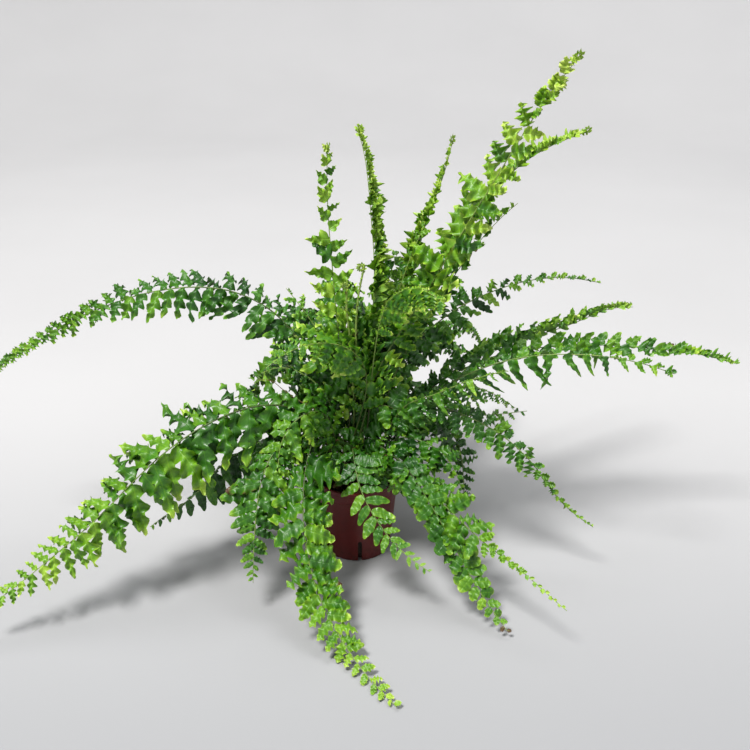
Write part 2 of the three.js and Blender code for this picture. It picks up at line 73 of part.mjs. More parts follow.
    stations: "3.2,2.4,50,1,1,1.05;4.1,3,58.7,1,1,1.03;4.6,3,67.5,1,1,1.01;4.8,2.3,76.3,1,1,0.98;4.7,1.2,85,1,1,0.96;4.3,0.1,93.7,1,1,0.94;3.8,-1,102.5,0.7,0.7,0.92;3.5,-2.1,111.2,0.7,0.7,0.89;3.1,-3,119.9,0.8,0.8,0.87;2.5,-3.5,128.7,1,1,0.85;1.8,-3.8,137.5,1,1,0.81;1.1,-3.9,146.2,0.8,0.8,0.76;0.8,-4.2,155,0.8,0.8,0.72;0.8,-4.6,163.8,1,1,0.67;1.1,-5,172.6,1,1,0.63;1.8,-5.4,181.4,1.1,2.2,0.58;2.8,-5.9,190.1,1.6,1.6,1.2;4.4,-6.4,198.8,2.6,2.6,1.9;6.2,-7,207.4,1.4,1.4,1" },
  { name: "fiddlehead_left", tone: "young", face: [0.025, -0.076, 0.997], droop: 0,
    stations: "-3.9,0.7,50,1,1,1.05;-5,1,59.1,1,1,1.03;-5.3,1,68.3,1,1,1;-4.3,0.8,77.5,1,1,0.98;-2.6,-0.2,86.5,0.8,0.8,0.88;-1.4,-1.8,95.4,0.7,0.7,0.8;-1,-3,104.5,0.7,0.7,0.72;-1,-3.4,113.7,0.7,0.7,0.7;-1.3,-3.6,122.9,0.8,0.8,0.79;-1.7,-3.9,132.1,0.8,0.8,0.74;-2.1,-4.2,141.3,1,1,0.75;-2.5,-4.5,150.5,0.8,0.8,0.7;-3,-4.9,159.7,2.2,1.1,0.65;-3.9,-5.4,168.8,1.4,2.8,0.6;-4.7,-5.9,178,1.6,1.6,1.2;-4.8,-6.4,187.2,2.6,2.6,1.9;-4.4,-7,196.3,1.4,1.4,1" },
  { name: "frond_center_arching", tone: "leaf", face: [0.123, -0.507, 0.853], droop: 44,
    stations: "-5.8,-5.7,50,1,1,1.05;-6.4,-6.4,59,1,1,1.03;-5.9,-6.9,68,1,1,1.01;-4.4,-7.3,76.9,0.7,0.7,0.86;-2.3,-7.8,85.6,0.7,0.7,0.84;-0,-8.5,94.4,0.8,0.8,0.95;2.3,-9.3,103.1,3,1.5,0.93;4.5,-10.2,111.8,0.9,2.2,0.91;6.4,-11.1,120.5,2.5,1.2,0.89;7.4,-12.1,129.4,1.7,4.4,0.87;7.1,-13.7,138.3,9.4,2.4,0.85;5.2,-16.4,146.7,9.2,11.8,0.81;1.7,-20,154.2,18,9,0.77;-3.2,-24.4,160.4,8.3,16.7,0.73;-8.9,-29.4,165.3,14.6,7.3,0.69;-15.2,-34.7,168.8,6,12.1,0.65;-22,-40.2,171.1,9.4,4.7,0.61;-29.2,-45.6,171.8,3.4,6.8,0.57;-36.5,-50.7,170.7,4.6,2.3,0.53;-43.6,-55.5,167.9,1.6,3.1,0.49;-50.5,-60,164,0.6,0.6,0.45" },
  { name: "frond_young_right", tone: "young", face: [-0.155, -0.47, 0.869], droop: 22,
    stations: "-0.5,-4,50,1,1,1.05;-0.5,-5.1,58.9,1,1,1.03;-0.2,-6.1,67.9,1,1,1.01;0.6,-7.1,76.8,0.8,0.8,0.86;1.8,-8,85.7,0.7,0.7,0.84;3.5,-8.5,94.5,0.7,0.7,0.83;5.5,-8.6,103.2,0.7,0.7,0.81;7.4,-8.6,112,0.7,0.7,0.69;8.9,-8.8,120.9,0.7,0.7,0.58;10.2,-9.5,129.8,0.7,0.7,0.71;11.2,-10.6,138.7,0.7,0.7,0.86;12.1,-12,147.5,1,1,0.83;13.1,-13.5,156.3,1,1,0.79;14.3,-15.1,165.1,1,1,0.75;15.8,-17,173.8,8.6,4.3,0.72;17.9,-19.1,182.3,5.4,10.7,0.68;21.1,-21.7,190.3,12,6,0.64;26,-25,197,5.6,11.2,0.6;32.7,-28.9,201.4,8.7,4.4,0.56;40.5,-33.3,202.4,2.8,5.6,0.53;47.8,-37.7,200,2.8,1.4,0.49;54.4,-42,195.7,0.6,0.6,0.45" },
  { name: "frond_back_right_arching", tone: "leaf", face: [-0.147, -0.401, 0.904], droop: 15,
    stations: "1.2,8.4,49.9,1,1,1.05;2.2,10.1,58.6,1,1,1.04;3.8,12.7,66.9,1,1,1.02;6.2,16.5,74.5,1,1,1.01;9.1,21.2,81.4,1,1,0.99;12.5,26.4,87.7,1,0.8,0.98;16.1,31.9,93.6,0.8,0.8,0.96;19.9,37.7,99.1,3.6,5.8,0.95;24,43.9,104,8.1,4.1,0.94;28.1,50.4,108.2,5.6,11.2,0.92;32.5,57.3,111.7,12.2,6.1,0.91;37,64.4,114.6,6.6,13.2,0.89;41.6,71.6,116.8,14.2,7.1,0.88;46.4,78.8,118.6,7.6,15.2,0.86;51.2,86.1,120,8,5,0.85;56,93.4,121.1,0.7,1.3,0.82;60.7,100.9,121.6,1.3,0.7,0.79;65.2,108.5,121.6,5.9,9.5,0.76;69.7,116.1,120.9,13.9,7,0.74;74.1,123.7,119.6,6.3,12.7,0.71;78.6,131,117.4,11.3,5.6,0.68;83,138.1,114.4,4.9,9.8,0.65;87.2,144.8,110.6,8.2,4.1,0.62;91.1,151.2,105.9,3.3,6.7,0.59;94.8,157,100.3,5.3,2.6,0.56;98.1,162.4,94.1,2,4,0.54;101.2,167.3,87.4,3.1,1.5,0.51;104,171.8,80.4,1.2,2.4,0.48;106.7,176.2,73.1,0.6,0.6,0.45" },
  { name: "dry_stem_left", tone: "dry", face: [0.254, -0.261, 0.931], droop: 10,
    stations: "-12.2,-0.9,50,1,1,0.95;-13.2,-1,58.7,0.9,0.9,0.91;-14.4,-1.1,67.5,0.9,0.9,0.88;-15.8,-1.3,76.1,0.9,0.9,0.84;-17.3,-1.6,84.8,0.8,0.8,0.8;-19.3,-1.9,93.4,0.7,0.7,0.71;-22.4,-2.3,101.6,0.7,0.7,0.67;-27.9,-3.1,108.3,0.7,0.7,0.59;-35,-4.1,113.3,0.7,0.7,0.6;-42,-5.1,118.6,0.7,0.7,0.53;-48.2,-6.1,124.7,0.7,0.7,0.53;-54.4,-7.4,130.8,0.6,0.6,0.54;-62.8,-8.8,132.2,0.6,0.6,0.5" },
  { name: "frond_right_back_hanging", tone: "leaf", face: [-0.248, -0.274, 0.929], droop: 15,
    stations: "11.6,3.9,50,1,1,1.05;12.7,4.3,59.1,1,1,1.03;14.6,5,68.1,1,1,1.01;17.4,6.1,76.7,1,1,0.98;21,7.6,85,1,1,0.96;26.3,9.8,92.1,3.1,7.7,0.94;34.2,13,94.9,2.4,1.5,0.92;42.2,16.3,92.2,1.7,3.4,0.89;49.6,19.3,87.7,14.4,7.2,0.87;56.9,22.2,82.9,7.8,15.6,0.85;63.7,24.9,77.4,15.6,7.8,0.81;69.2,27.2,70.5,7.4,14.9,0.76;73,28.7,62.3,13.3,6.6,0.72;75.3,29.6,53.4,5.6,11.1,0.67;76.7,30.2,44.3,8.7,4.3,0.63;77.6,30.6,35.2,3.1,6.3,0.58;78.3,30.8,26.1,4.2,2.1,0.54;78.5,31,16.9,1.4,2.7,0.49;78.5,31,7.7,0.6,0.6,0.45" },
  { name: "frond_front_right_inner", tone: "leaf", face: [-0.074, -0.779, 0.623], droop: 6,
    stations: "5,-11.1,50,1,1,1.05;5.4,-12.3,59,0.8,0.8,1.02;5.7,-12.2,68.1,6.5,3.3,0.99;5.6,-10.6,77.1,1.6,5.1,0.96;5.4,-8.1,85.9,1.6,1,0.93;5,-5.5,94.6,1.1,1.8,0.9;7,-2.9,103,1.2,1.2,0.87;12.6,-3.8,109.9,2.8,4.4,0.82;20.6,-7,112.3,2.5,2,0.76;29,-8.8,109.4,1,2,0.7;36,-9.8,103.8,1.5,0.7,0.63;41.8,-11.8,97,0.9,1.8,0.57;46.1,-15.1,89.6,2.1,1.1,0.51;49.3,-18.9,82,0.6,0.6,0.45" },
  { name: "frond_left_mid", tone: "leaf", face: [0.252, -0.288, 0.924], droop: 20,
    stations: "-7.7,-2.7,50,1,1,1.05;-8.8,-3.1,59.2,1,1,1.02;-9.9,-3.4,68.3,1,1,0.99;-11.1,-3.5,77.5,0.8,0.8,0.96;-12.1,-3.8,86.7,1.4,0.7,0.93;-13.2,-4.6,95.8,0.7,1.1,0.9;-14.9,-4.2,104.8,5,2.5,0.87;-17.5,-3.6,113.7,3.3,6.6,0.82;-21.5,-3.7,122,3.2,1.6,0.76;-27.4,-4.1,129,1.7,4.2,0.7;-34.6,-4.6,134.7,3.1,1.5,0.63;-42.9,-5.1,138.6,2.4,4.8,0.57;-52.1,-5.4,138.8,2.6,1.3,0.51;-60.6,-5.2,135.5,0.6,0.6,0.45" },
  { name: "frond_right_center", tone: "leaf", face: [-0.24, -0.215, 0.947], droop: 40,
    stations: "10.3,-6.5,50,1,1,1.05;11.3,-7.1,59,1,1,1.03;12.8,-7.8,68,1,1,1;15.1,-8.8,76.8,0.7,0.7,0.98;17.7,-9.8,85.4,3.8,1.9,0.95;20.7,-10.9,94,2.8,7.1,0.92;24.1,-12.2,102.4,4.3,2.1,0.9;28.1,-13.7,110.4,2.5,4.9,0.88;33.5,-15.9,117.4,10.6,6.6,0.85;40.4,-18.6,122.6,6.6,16.5,0.8;47.9,-21.7,126.8,12.4,7.7,0.75;55.2,-24.6,131.4,6.7,13.3,0.7;62.4,-27.5,136.3,10.6,5.3,0.65;69.6,-30.4,141,3.8,7.6,0.6;77,-33.4,145.3,5,2.5,0.55;84.7,-36.5,149.1,1.5,3.1,0.5;92.5,-39.7,152.7,0.6,0.6,0.45" },
  { name: "frond_right_center_low", tone: "leaf", face: [-0.252, -0.327, 0.911], droop: 20,
    stations: "15.8,2.8,50,1,1,1.05;16.8,3,58.8,1,1,1.02;18.8,3.3,67.4,1,1,1;22,3.9,75.7,1,1,0.97;26.5,4.7,83.3,7.9,4,0.94;32.4,5.7,89.7,2,4,0.92;40.2,7.1,93.8,4.7,2.3,0.89;48.8,8.6,95.4,5.2,13.1,0.86;57.5,10.1,95.7,13.8,6.9,0.82;66.2,11.7,95.2,6.7,13.4,0.77;74.9,13.2,94.5,11.9,5.9,0.72;83.6,14.7,93.8,4.8,9.5,0.66;92.4,16.3,93.6,6.9,3.5,0.61;101.1,17.8,93.6,2.2,4.5,0.56;109.9,19.4,93.9,2.6,1.3,0.5;118.6,20.9,94.2,0.6,0.6,0.45" },
  { name: "frond_right_center_back", tone: "leaf", face: [-0.214, -0.412, 0.886], droop: 15,
    stations: "7.4,9.7,50,1,1,1.05;8.3,10.9,58.7,1,1,1.03;10.3,12.8,67,1,1,1.01;13.7,15.3,74.7,1,1,0.99;18,18,81.8,1,1,0.97;23.1,20.9,88.4,0.8,0.8,0.95;28.8,24.4,94.1,7,3.5,0.93;35.3,28.6,98.1,4,8.1,0.91;42.5,33.3,100,11.4,4.6,0.89;49.8,38.2,100,1.7,4.2,0.87;57,43.1,99.2,3.6,1.8,0.85;64.3,48,98.2,2.8,8.8,0.81;71.5,52.9,97,13.4,6.7,0.77;78.6,57.7,95.1,6.2,12.4,0.73;85.5,62.3,92.4,10.8,5.4,0.69;92.1,66.8,88.7,4.5,8.9,0.65;98.5,71.1,84.4,6.9,3.5,0.61;104.6,75.2,79.6,2.5,5,0.57;110.4,79.1,74.3,3.4,1.7,0.53;116,82.9,68.7,1.2,2.3,0.49;121.5,86.6,62.9,0.6,0.6,0.45" },
  { name: "frond_inner_upright_right", tone: "young", face: [-0.18, -0.513, 0.839], droop: 10,
    stations: "4,-0.6,50,1,1,1.05;5.1,-0.7,59.1,1,1,1.03;6.2,-0.5,68.1,1,1,1.01;7.2,0,77.2,1,1,0.99;8.3,0.8,86.2,1,1,0.97;9.3,1.6,95.3,2.9,5.8,0.95;10.5,2.6,104.3,4.3,2.7,0.93;11.7,3.6,113.3,2,5,0.91;13.2,4.6,122.2,3.6,2.8,0.89;14.9,5.8,131.1,3.1,6.2,0.87;16.9,6.9,140,5.3,2.7,0.85;19.1,8.2,148.8,3.3,6.6,0.81;21.3,9.5,157.5,8,5,0.77;23.5,10.8,166.3,4.6,14.3,0.73;25.8,12,175.1,15.6,7.8,0.69;28.1,13.4,183.8,6.4,12.8,0.65;30.7,14.9,192.4,10,5,0.61;33.6,16.5,200.9,3.6,7.3,0.57;36.8,18.4,209.3,5,2.5,0.53;40.4,20.5,217.4,1.7,3.4,0.49;44.1,22.6,225.5,0.6,0.6,0.45" },
  { name: "frond_inner_upright_back", tone: "young", face: [-0.14, -0.468, 0.872], droop: 10,
    stations: "0.6,3.9,50,1,1,1.05;0.9,5,59,1,1,1.03;1.3,5.7,68,1,1,1.01;2.1,5.9,77,1,1,0.98;3.2,5.9,86,0.8,0.8,0.96;4.3,6,94.9,2.2,4.5,0.94;5.5,6.3,103.9,3.4,1.3,0.92;6.7,7,112.8,1.6,3.1,0.89;7.9,7.9,121.7,3.5,1.8,0.87;9.2,9.3,130.6,1.9,3.9,0.85;10.6,11.2,139.3,3.9,1.9,0.81;12.1,13.4,148,2.3,4.6,0.76;13.6,15.9,156.5,8.1,4.1,0.72;15.4,18.7,164.9,3.4,6.8,0.67;17.4,21.8,173.2,10.4,5.2,0.63;19.7,25.2,181.2,3.8,7.5,0.58;22.3,29.1,189,5,2.5,0.54;25.1,33.4,196.4,1.6,3.2,0.49;28.1,38,203.6,0.6,0.6,0.45" },
  { name: "frond_inner_left", tone: "leaf", face: [0.226, -0.411, 0.883], droop: 12,
    stations: "-7,4.2,50,1,1,1.05;-7.9,4.8,58.7,1,1,1.03;-8.2,5,67.5,1,1,1;-7.6,4.9,76.2,1,1,0.98;-6.4,4.5,84.9,0.8,0.8,0.96;-5.1,4.1,93.6,2.3,5.8,0.93;-4.1,3.8,102.3,4.3,2.2,0.91;-3.9,3.9,111.1,2,5,0.89;-5,4.3,119.8,8.7,3.5,0.86;-7.6,4.8,128.2,4.5,7.2,0.83;-11.1,5.5,136.1,11.1,5.5,0.78;-15.2,6.5,143.9,6.3,10.1,0.73;-19.5,7.6,151.4,16.8,8.4,0.69;-24.1,8.8,158.8,6.6,13.2,0.64;-28.9,10.1,166.1,9.5,4.8,0.59;-33.9,11.4,173.2,3.1,6.3,0.54;-39.1,12.8,180.1,4,2,0.5;-44.5,14.3,186.8,0.6,0.6,0.45" },
  { name: "frond_left_low_back", tone: "leaf", face: [0.243, -0.424, 0.873], droop: 22,
    stations: "-11.9,2.7,50,1,1,1.05;-12.9,2.9,58.9,1,1,1.02;-14,3.1,67.7,1,1,0.99;-15.1,3.3,76.5,1,1,0.96;-16.6,3.5,85.3,8.6,3.5,0.94;-19.9,3.9,93.6,4.1,8.3,0.91;-26.3,4.7,99.5,9.7,3.9,0.88;-34.7,5.9,102.1,5.3,10.6,0.85;-43.4,7.1,103.4,16.3,8.2,0.79;-52.2,8.3,104.5,7.3,14.7,0.74;-61,9.6,104.8,11.9,6,0.68;-69.8,10.8,103.7,4.3,8.7,0.62;-78.1,12,100.8,5.6,2.8,0.56;-85.7,13,96.2,1.6,3.2,0.51;-92.6,14,90.8,0.6,0.6,0.45" },
  { name: "frond_front_low_center", tone: "leaf", face: [-0.096, -0.653, 0.751], droop: 8,
    stations: "8,-13.9,50,1,1,1.05;8.7,-14.7,57.9,1,1,1.01;8.7,-15.5,65.8,3.7,1.8,0.97;7.5,-16,73.6,1.2,1.2,0.93;5.7,-16.5,81.4,3.5,1.4,0.89;8.1,-20.3,83.1,1.4,7,0.85;12.9,-22.4,77.1,5,3.9,0.77;18,-23.1,71,2.4,7.4,0.69;23.1,-23.3,64.9,5.9,2.9,0.61;27.9,-23.2,58.5,1.5,3.1,0.53;32.4,-23.1,52,0.6,0.6,0.45" },
  { name: "frond_front_low_left", tone: "leaf", face: [0.144, -0.643, 0.753], droop: 10,
    stations: "-6.1,-14.8,50,1,1,1.05;-6.5,-16,59.1,0.8,0.8,1.01;-7,-16.1,68.2,3.7,1.9,0.98;-7.5,-15,77.3,1.2,2.4,0.94;-9.6,-14.4,86.1,2.8,1.4,0.9;-17.6,-16.6,85.3,1.2,2,0.87;-23.1,-19.9,78.9,4.7,2.9,0.81;-27.4,-22.7,71.3,4.8,12,0.74;-31.8,-24.9,63.5,8.9,4.5,0.67;-36,-27,55.7,2.8,5.7,0.6;-40,-29.6,47.8,3.1,1.5,0.52;-43.8,-32.5,40,0.6,0.6,0.45" },
  { name: "frond_right_low", tone: "leaf", face: [-0.167, -0.557, 0.814], droop: 12,
    stations: "14.6,-6.5,50,1,1,1.05;15.5,-6.9,58.8,1,1,1.02;17,-7.6,67.5,1,1,0.98;19.2,-8.6,76.1,2.8,5.7,0.95;22.5,-10,84.2,5.7,2.8,0.92;27.9,-12.4,90.6,3.4,8.5,0.88;35.6,-15.9,93.1,6,3.8,0.85;43.7,-19.5,92.7,3.7,9.2,0.78;51.5,-22.9,90.3,12.2,4.9,0.72;58.3,-26,85.5,4.5,7.2,0.65;63.5,-28.3,78.8,5.7,2.9,0.58;67.3,-30,71,1.6,3.1,0.52;70.1,-31.2,62.7,0.6,0.6,0.45" },
  { name: "frond_back_01", tone: "leaf", face: [-0.163, -0.237, 0.958], droop: 16,
    stations: "7.6,14.1,50,1,1,1.05;8.1,14.8,59.1,1,1,1.04;8.8,15.7,68.2,1,1,1.02;9.7,17.2,77.1,1,1,1.01;11,19.7,85.8,1,1,0.99;12.7,23.2,94,1,1,0.98;15,27.6,101.7,1,1,0.97;17.7,32.8,108.7,6.6,13.3,0.95;20.9,38.6,115,14.6,7.3,0.94;24.5,45,120.4,8,16,0.93;28.5,51.9,124.7,17.4,8.7,0.91;32.8,59.4,127.8,9.4,18.7,0.9;37.3,67.1,129.5,20.1,10,0.88;42,75,129.7,10.7,21.4,0.87;46.5,82.7,128.4,22.1,11,0.86;51,90.3,125.8,1.2,3,0.84;55.4,97.3,122.1,1.9,0.9,0.81;59.8,103.9,117.6,0.9,1.8,0.78;64.3,109.8,112.2,20.1,6.4,0.75;68.5,115.3,106.3,9.3,18.7,0.73;72.5,120.4,99.9,16.9,8.4,0.7;76.3,125.1,93.1,7.5,14.9,0.67;79.9,129.5,85.9,12.9,6.4,0.64;83.3,133.6,78.5,5.4,10.8,0.62;86.6,137.3,70.8,8.8,4.4,0.59;89.8,140.6,62.9,3.5,7,0.56;92.9,143.5,54.8,5.4,2.7,0.53;95.9,146.2,46.6,2.1,4.2,0.51;98.9,148.6,38.3,3.4,1.7,0.48;101.8,150.9,30,0.6,0.6,0.45" },
  { name: "frond_back_02", tone: "leaf", face: [-0.008, -0.287, 0.958], droop: 16,
    stations: "1.9,12.4,49.9,1,1,1.05;1.9,13.4,58.7,1,1,1.04;2,14.2,67.6,1,1,1.02;2.1,14.9,76.5,1,1,1.01;2.4,15.9,85.3,1,1,1;2.8,17.4,94.1,1,1,0.99;3.3,19.9,102.6,1,1,0.97;4,23.2,110.8,5.3,8.5,0.96;4.6,27.5,118.6,9.3,5.8,0.95;5.4,32.6,125.8,5.1,12.7,0.93;6.3,38.7,132.2,13.7,8.6,0.92;7.2,45.7,137.7,7.4,18.5,0.91;8.2,53.4,141.9,15.8,9.9,0.9;9.2,61.8,144.7,10.6,21.1,0.88;10.1,70.5,146,22.4,11.2,0.87;10.9,79.4,145.7,11.5,23,0.86;11.6,88.1,144.2,23,11.5,0.84;12.1,96.6,141.5,11.4,22.9,0.81;12.5,104.7,137.9,22.3,11.1,0.79;12.8,112.4,133.5,10.6,21.3,0.76;12.9,119.8,128.5,19.9,10,0.73;12.9,126.8,123,9.1,18.3,0.71;12.7,133.4,117.1,16.4,8.2,0.68;12.5,139.8,110.9,7.2,14.5,0.66;12.1,145.8,104.3,12.4,6.2,0.63;11.6,151.6,97.6,5.2,10.5,0.6;11,157.1,90.6,8.6,4.3,0.58;10.2,162.4,83.5,3.4,6.8,0.55;9.4,167.4,76.2,5.4,2.7,0.53;8.4,172.3,68.9,2.1,4.2,0.5;7.4,177.1,61.5,3.5,1.7,0.48;6.4,181.9,54,0.6,0.6,0.45" },
  { name: "frond_back_03", tone: "leaf", face: [0.008, -0.287, 0.958], droop: 16,
    stations: "-2,15.9,50,1,1,1.05;-2.1,17,59,1,1,1.04;-2.3,18.4,67.9,1,1,1.02;-2.5,20.5,76.7,1,1,1.01;-2.9,23.9,85.1,1,1,0.99;-3.4,28.4,92.9,1,1,0.98;-4.1,34.1,99.9,1,1,0.97;-4.8,40.6,106.2,7.2,14.4,0.95;-5.5,47.9,111.6,15.9,7.9,0.94;-6.3,55.7,116,8.7,17.3,0.93;-7.1,64.1,119.3,18.8,9.4,0.91;-7.8,72.9,121.3,10.1,20.3,0.9;-8.6,81.9,121.9,21.7,10.9,0.88;-9.2,90.9,121.1,11.6,23.2,0.87;-9.8,99.7,118.9,23.9,12,0.86;-10.2,108.1,115.6,12,23.9,0.84;-10.6,116.1,111.4,23.8,11.9,0.81;-10.8,123.6,106.4,11.5,23,0.78;-11,130.7,100.7,21.8,10.9,0.75;-11,137.3,94.5,10.1,20.2,0.73;-11,143.5,87.9,18.3,9.2,0.7;-10.9,149.4,81.1,8.1,16.2,0.67;-10.7,155,74,14,7,0.64;-10.4,160.4,66.7,5.9,11.7,0.62;-10,165.5,59.2,9.6,4.8,0.59;-9.5,170.3,51.6,3.8,7.6,0.56;-8.9,175,43.8,5.9,2.9,0.53;-8.2,179.4,35.9,2.3,4.5,0.51;-7.4,183.7,28,3.7,1.8,0.48;-6.6,187.9,20,0.6,0.6,0.45" },
  { name: "frond_back_04", tone: "leaf", face: [0.137, -0.253, 0.958], droop: 16,
    stations: "-4.6,11.3,50,1,1,1.05;-4.8,12,59,1,1,1.04;-5.1,12.6,68,1,1,1.02;-5.4,13.3,76.9,1,1,1.01;-5.8,14.4,85.9,1,1,1;-6.4,15.9,94.7,1,1,0.98;-7.4,18.2,103.4,1,1,0.97;-8.7,21.3,111.7,5.2,10.4,0.96;-10.3,25.1,119.7,11.4,4.6,0.94;-12.3,29.8,127.1,7.8,10,0.93;-14.7,35.3,133.8,16.9,6.8,0.92;-17.5,41.6,139.6,9.1,14.6,0.9;-20.7,48.7,144.2,19.5,9.8,0.89;-24.2,56.4,147.2,10.4,20.8,0.88;-28,64.4,148.6,22.1,11,0.86;-31.9,72.5,148.4,11,22.1,0.85;-35.8,80.5,146.8,22.1,11,0.82;-39.7,88.1,144,10.9,21.7,0.8;-43.4,95.3,140.2,20.9,10.4,0.77;-47.1,102.1,135.5,9.8,19.6,0.74;-50.6,108.4,130.2,18.1,9,0.72;-53.9,114.3,124.2,8.2,16.3,0.69;-57.2,119.7,117.8,14.4,7.2,0.66;-60.3,124.7,111,6.2,12.4,0.64;-63.3,129.4,103.9,10.4,5.2,0.61;-66.2,133.7,96.6,4.3,8.5,0.58;-69.2,137.7,89,6.8,3.4,0.56;-72.1,141.5,81.4,2.6,5.3,0.53;-75,145.1,73.7,4.1,2.1,0.5;-77.9,148.5,65.8,1.7,3.4,0.48;-80.7,151.9,58,0.6,0.6,0.45" },
  { name: "frond_back_05", tone: "leaf", face: [0.194, -0.212, 0.958], droop: 16,
    stations: "-9.9,12.6,50,1,1,1.05;-10.4,13.3,58.8,1,1,1.03;-11.1,14.2,67.6,1,1,1.01;-12.1,15.5,76.4,1,1,0.99;-13.9,17.8,84.7,1,1,0.97;-16.6,21.1,92.5,6,12.1,0.95;-19.9,25.3,99.6,13.8,6.9,0.94;-23.8,30.2,105.9,7.7,15.5,0.92;-28.3,35.6,111.2,13.8,6.9,0.9;-33.4,41.7,115.2,7.6,15.1,0.88;-38.8,48.2,117.8,16.2,8.1,0.86;-44.6,54.9,118.4,10.1,20.2,0.83;-50.4,61.5,117,15.8,9.9,0.79;-56,67.6,113.9,9.3,18.5,0.75;-61.2,73.2,109.3,16.6,8.3,0.72;-65.9,78.1,103.7,7.1,14.2,0.68;-70.3,82.4,97.3,11.6,5.8,0.64;-74.3,86.2,90.4,4.5,9,0.6;-78.1,89.6,83.1,6.6,3.3,0.56;-81.6,92.6,75.5,2.3,4.7,0.53;-85,95.4,67.8,3.3,1.7,0.49;-88.3,98.1,60,0.6,0.6,0.45" },
  { name: "frond_back_06", tone: "leaf", face: [-0.091, -0.272, 0.958], droop: 16,
    stations: "3.5,7.6,49.9,1,1,1.05;3.8,8.2,58.9,1,1,1.03;4,8.7,68.1,1,1,1.02;3.9,9,77.2,1,1,1;3.9,9.3,86.4,0.8,0.8,0.98;3.9,9.6,95.5,0.7,0.7,0.97;4.3,10.2,104.6,4.7,2.3,0.95;4.9,11.5,113.7,3.3,6.5,0.93;5.9,13.5,122.6,5.8,2.9,0.92;7.1,16.2,131.2,4.9,9.9,0.9;8.6,19.6,139.5,8.6,5.4,0.88;10.4,24,147.4,7.3,14.5,0.87;12.5,29.2,154.6,11.8,7.4,0.85;14.9,35.3,160.9,7.3,14.7,0.82;17.7,42.4,166,14.2,4.6,0.78;20.7,50.4,169.3,5.3,8.5,0.75;23.7,58.8,170.9,15.1,4.8,0.72;26.7,67.5,170.7,6.6,13.2,0.68;29.6,76,168.9,11.2,5.6,0.65;32.1,84.1,165.7,4.5,9.1,0.62;34.4,91.9,161.4,7.1,3.5,0.58;36.4,99.2,156.3,2.7,5.3,0.55;38.1,106.1,150.5,3.9,1.9,0.52;39.6,112.7,144.3,1.5,2.9,0.48;41,119.1,138,0.6,0.6,0.45" },
  { name: "frond_back_07", tone: "leaf", face: [0.037, -0.285, 0.958], droop: 16,
    stations: "-2.3,7.9,50,1,1,1.05;-2.5,8.5,59,1,1,1.03;-2.6,9,68.1,1,1,1.02;-2.6,9.1,77.1,1,1,1;-2.6,9.1,86.1,1,1,0.98;-2.7,9.3,95.2,0.7,0.7,0.97;-2.9,10,104.2,6.1,3.1,0.95;-3.2,11.2,113.1,2.7,5.5,0.93;-3.7,13,122,4.8,2.4,0.92;-4.3,15.4,130.7,3.3,5.3,0.9;-5,18.3,139.3,7.2,2.9,0.88;-5.9,21.8,147.5,6.1,9.8,0.87;-6.9,26.1,155.4,19.3,7.7,0.85;-8.1,31.4,162.6,9.6,15.4,0.82;-9.4,38,168.7,18.7,9.3,0.78;-10.9,45.9,172.7,8.7,17.5,0.75;-12.3,54.6,174.7,15.8,7.9,0.72;-13.7,63.5,174.5,6.9,13.9,0.68;-14.8,72.2,172.5,11.7,5.9,0.65;-15.6,80.5,169,4.8,9.5,0.62;-16.1,88.3,164.4,7.4,3.7,0.58;-16.3,95.5,159,2.8,5.6,0.55;-16.4,102.2,152.9,4.1,2,0.52;-16.3,108.6,146.5,1.5,3.1,0.48;-16.1,114.9,140,0.6,0.6,0.45" },
  { name: "frond_back_08", tone: "leaf", face: [-0.214, -0.192, 0.958], droop: 16,
    stations: "11.9,10.7,50,1,1,1.05;12.6,11.3,58.8,1,1,1.02;13.3,11.7,67.5,1,1,1;14.6,12.5,76.2,1,1,0.97;17.3,15.1,84.1,10.7,5.4,0.94;21.3,19,90.9,5.1,10.1,0.92;26.3,23.6,96.5,7.5,4.7,0.89;32,28.8,100.7,4.2,8.5,0.86;38.2,34.4,103.1,13.2,6.6,0.82;44.8,40.3,103.6,4,6.4,0.77;51.1,46,101.6,3.6,1.8,0.72;56.9,51.2,97.5,1.8,3.5,0.66;61.9,55.7,91.9,4,2.5,0.61;66.1,59.5,85.1,2.5,5.1,0.56;69.6,62.6,77.6,3.1,1.5,0.5;72.8,65.6,70,0.6,0.6,0.45" },
  { name: "frond_back_09", tone: "leaf", face: [0.226, -0.177, 0.958], droop: 16,
    stations: "-9.6,7.5,50,1,1,1.05;-10.4,8.1,59.1,1,1,1.02;-11.3,8.8,68.2,1,1,1;-12.5,9.8,77.2,1,1,0.97;-14.6,11.4,85.9,6.9,3.4,0.94;-17.7,13.9,94.2,3.2,8.1,0.92;-21.7,16.9,101.9,7.5,3.7,0.89;-26.4,20.6,108.8,5.3,13.2,0.86;-31.9,25,114.6,16.6,8.3,0.82;-38.3,29.9,118.8,7.8,12.5,0.77;-45.3,35.4,121,13.6,6.8,0.72;-52.5,41,120.5,5.4,10.8,0.66;-59.3,46.3,117.6,6.2,3.1,0.61;-65.2,50.9,112.4,2,4.1,0.56;-69.9,54.6,105.5,2.5,1.2,0.5;-74.1,57.9,98,0.6,0.6,0.45" },
  { name: "frond_back_10", tone: "leaf", face: [-0.023, -0.286, 0.958], droop: 16,
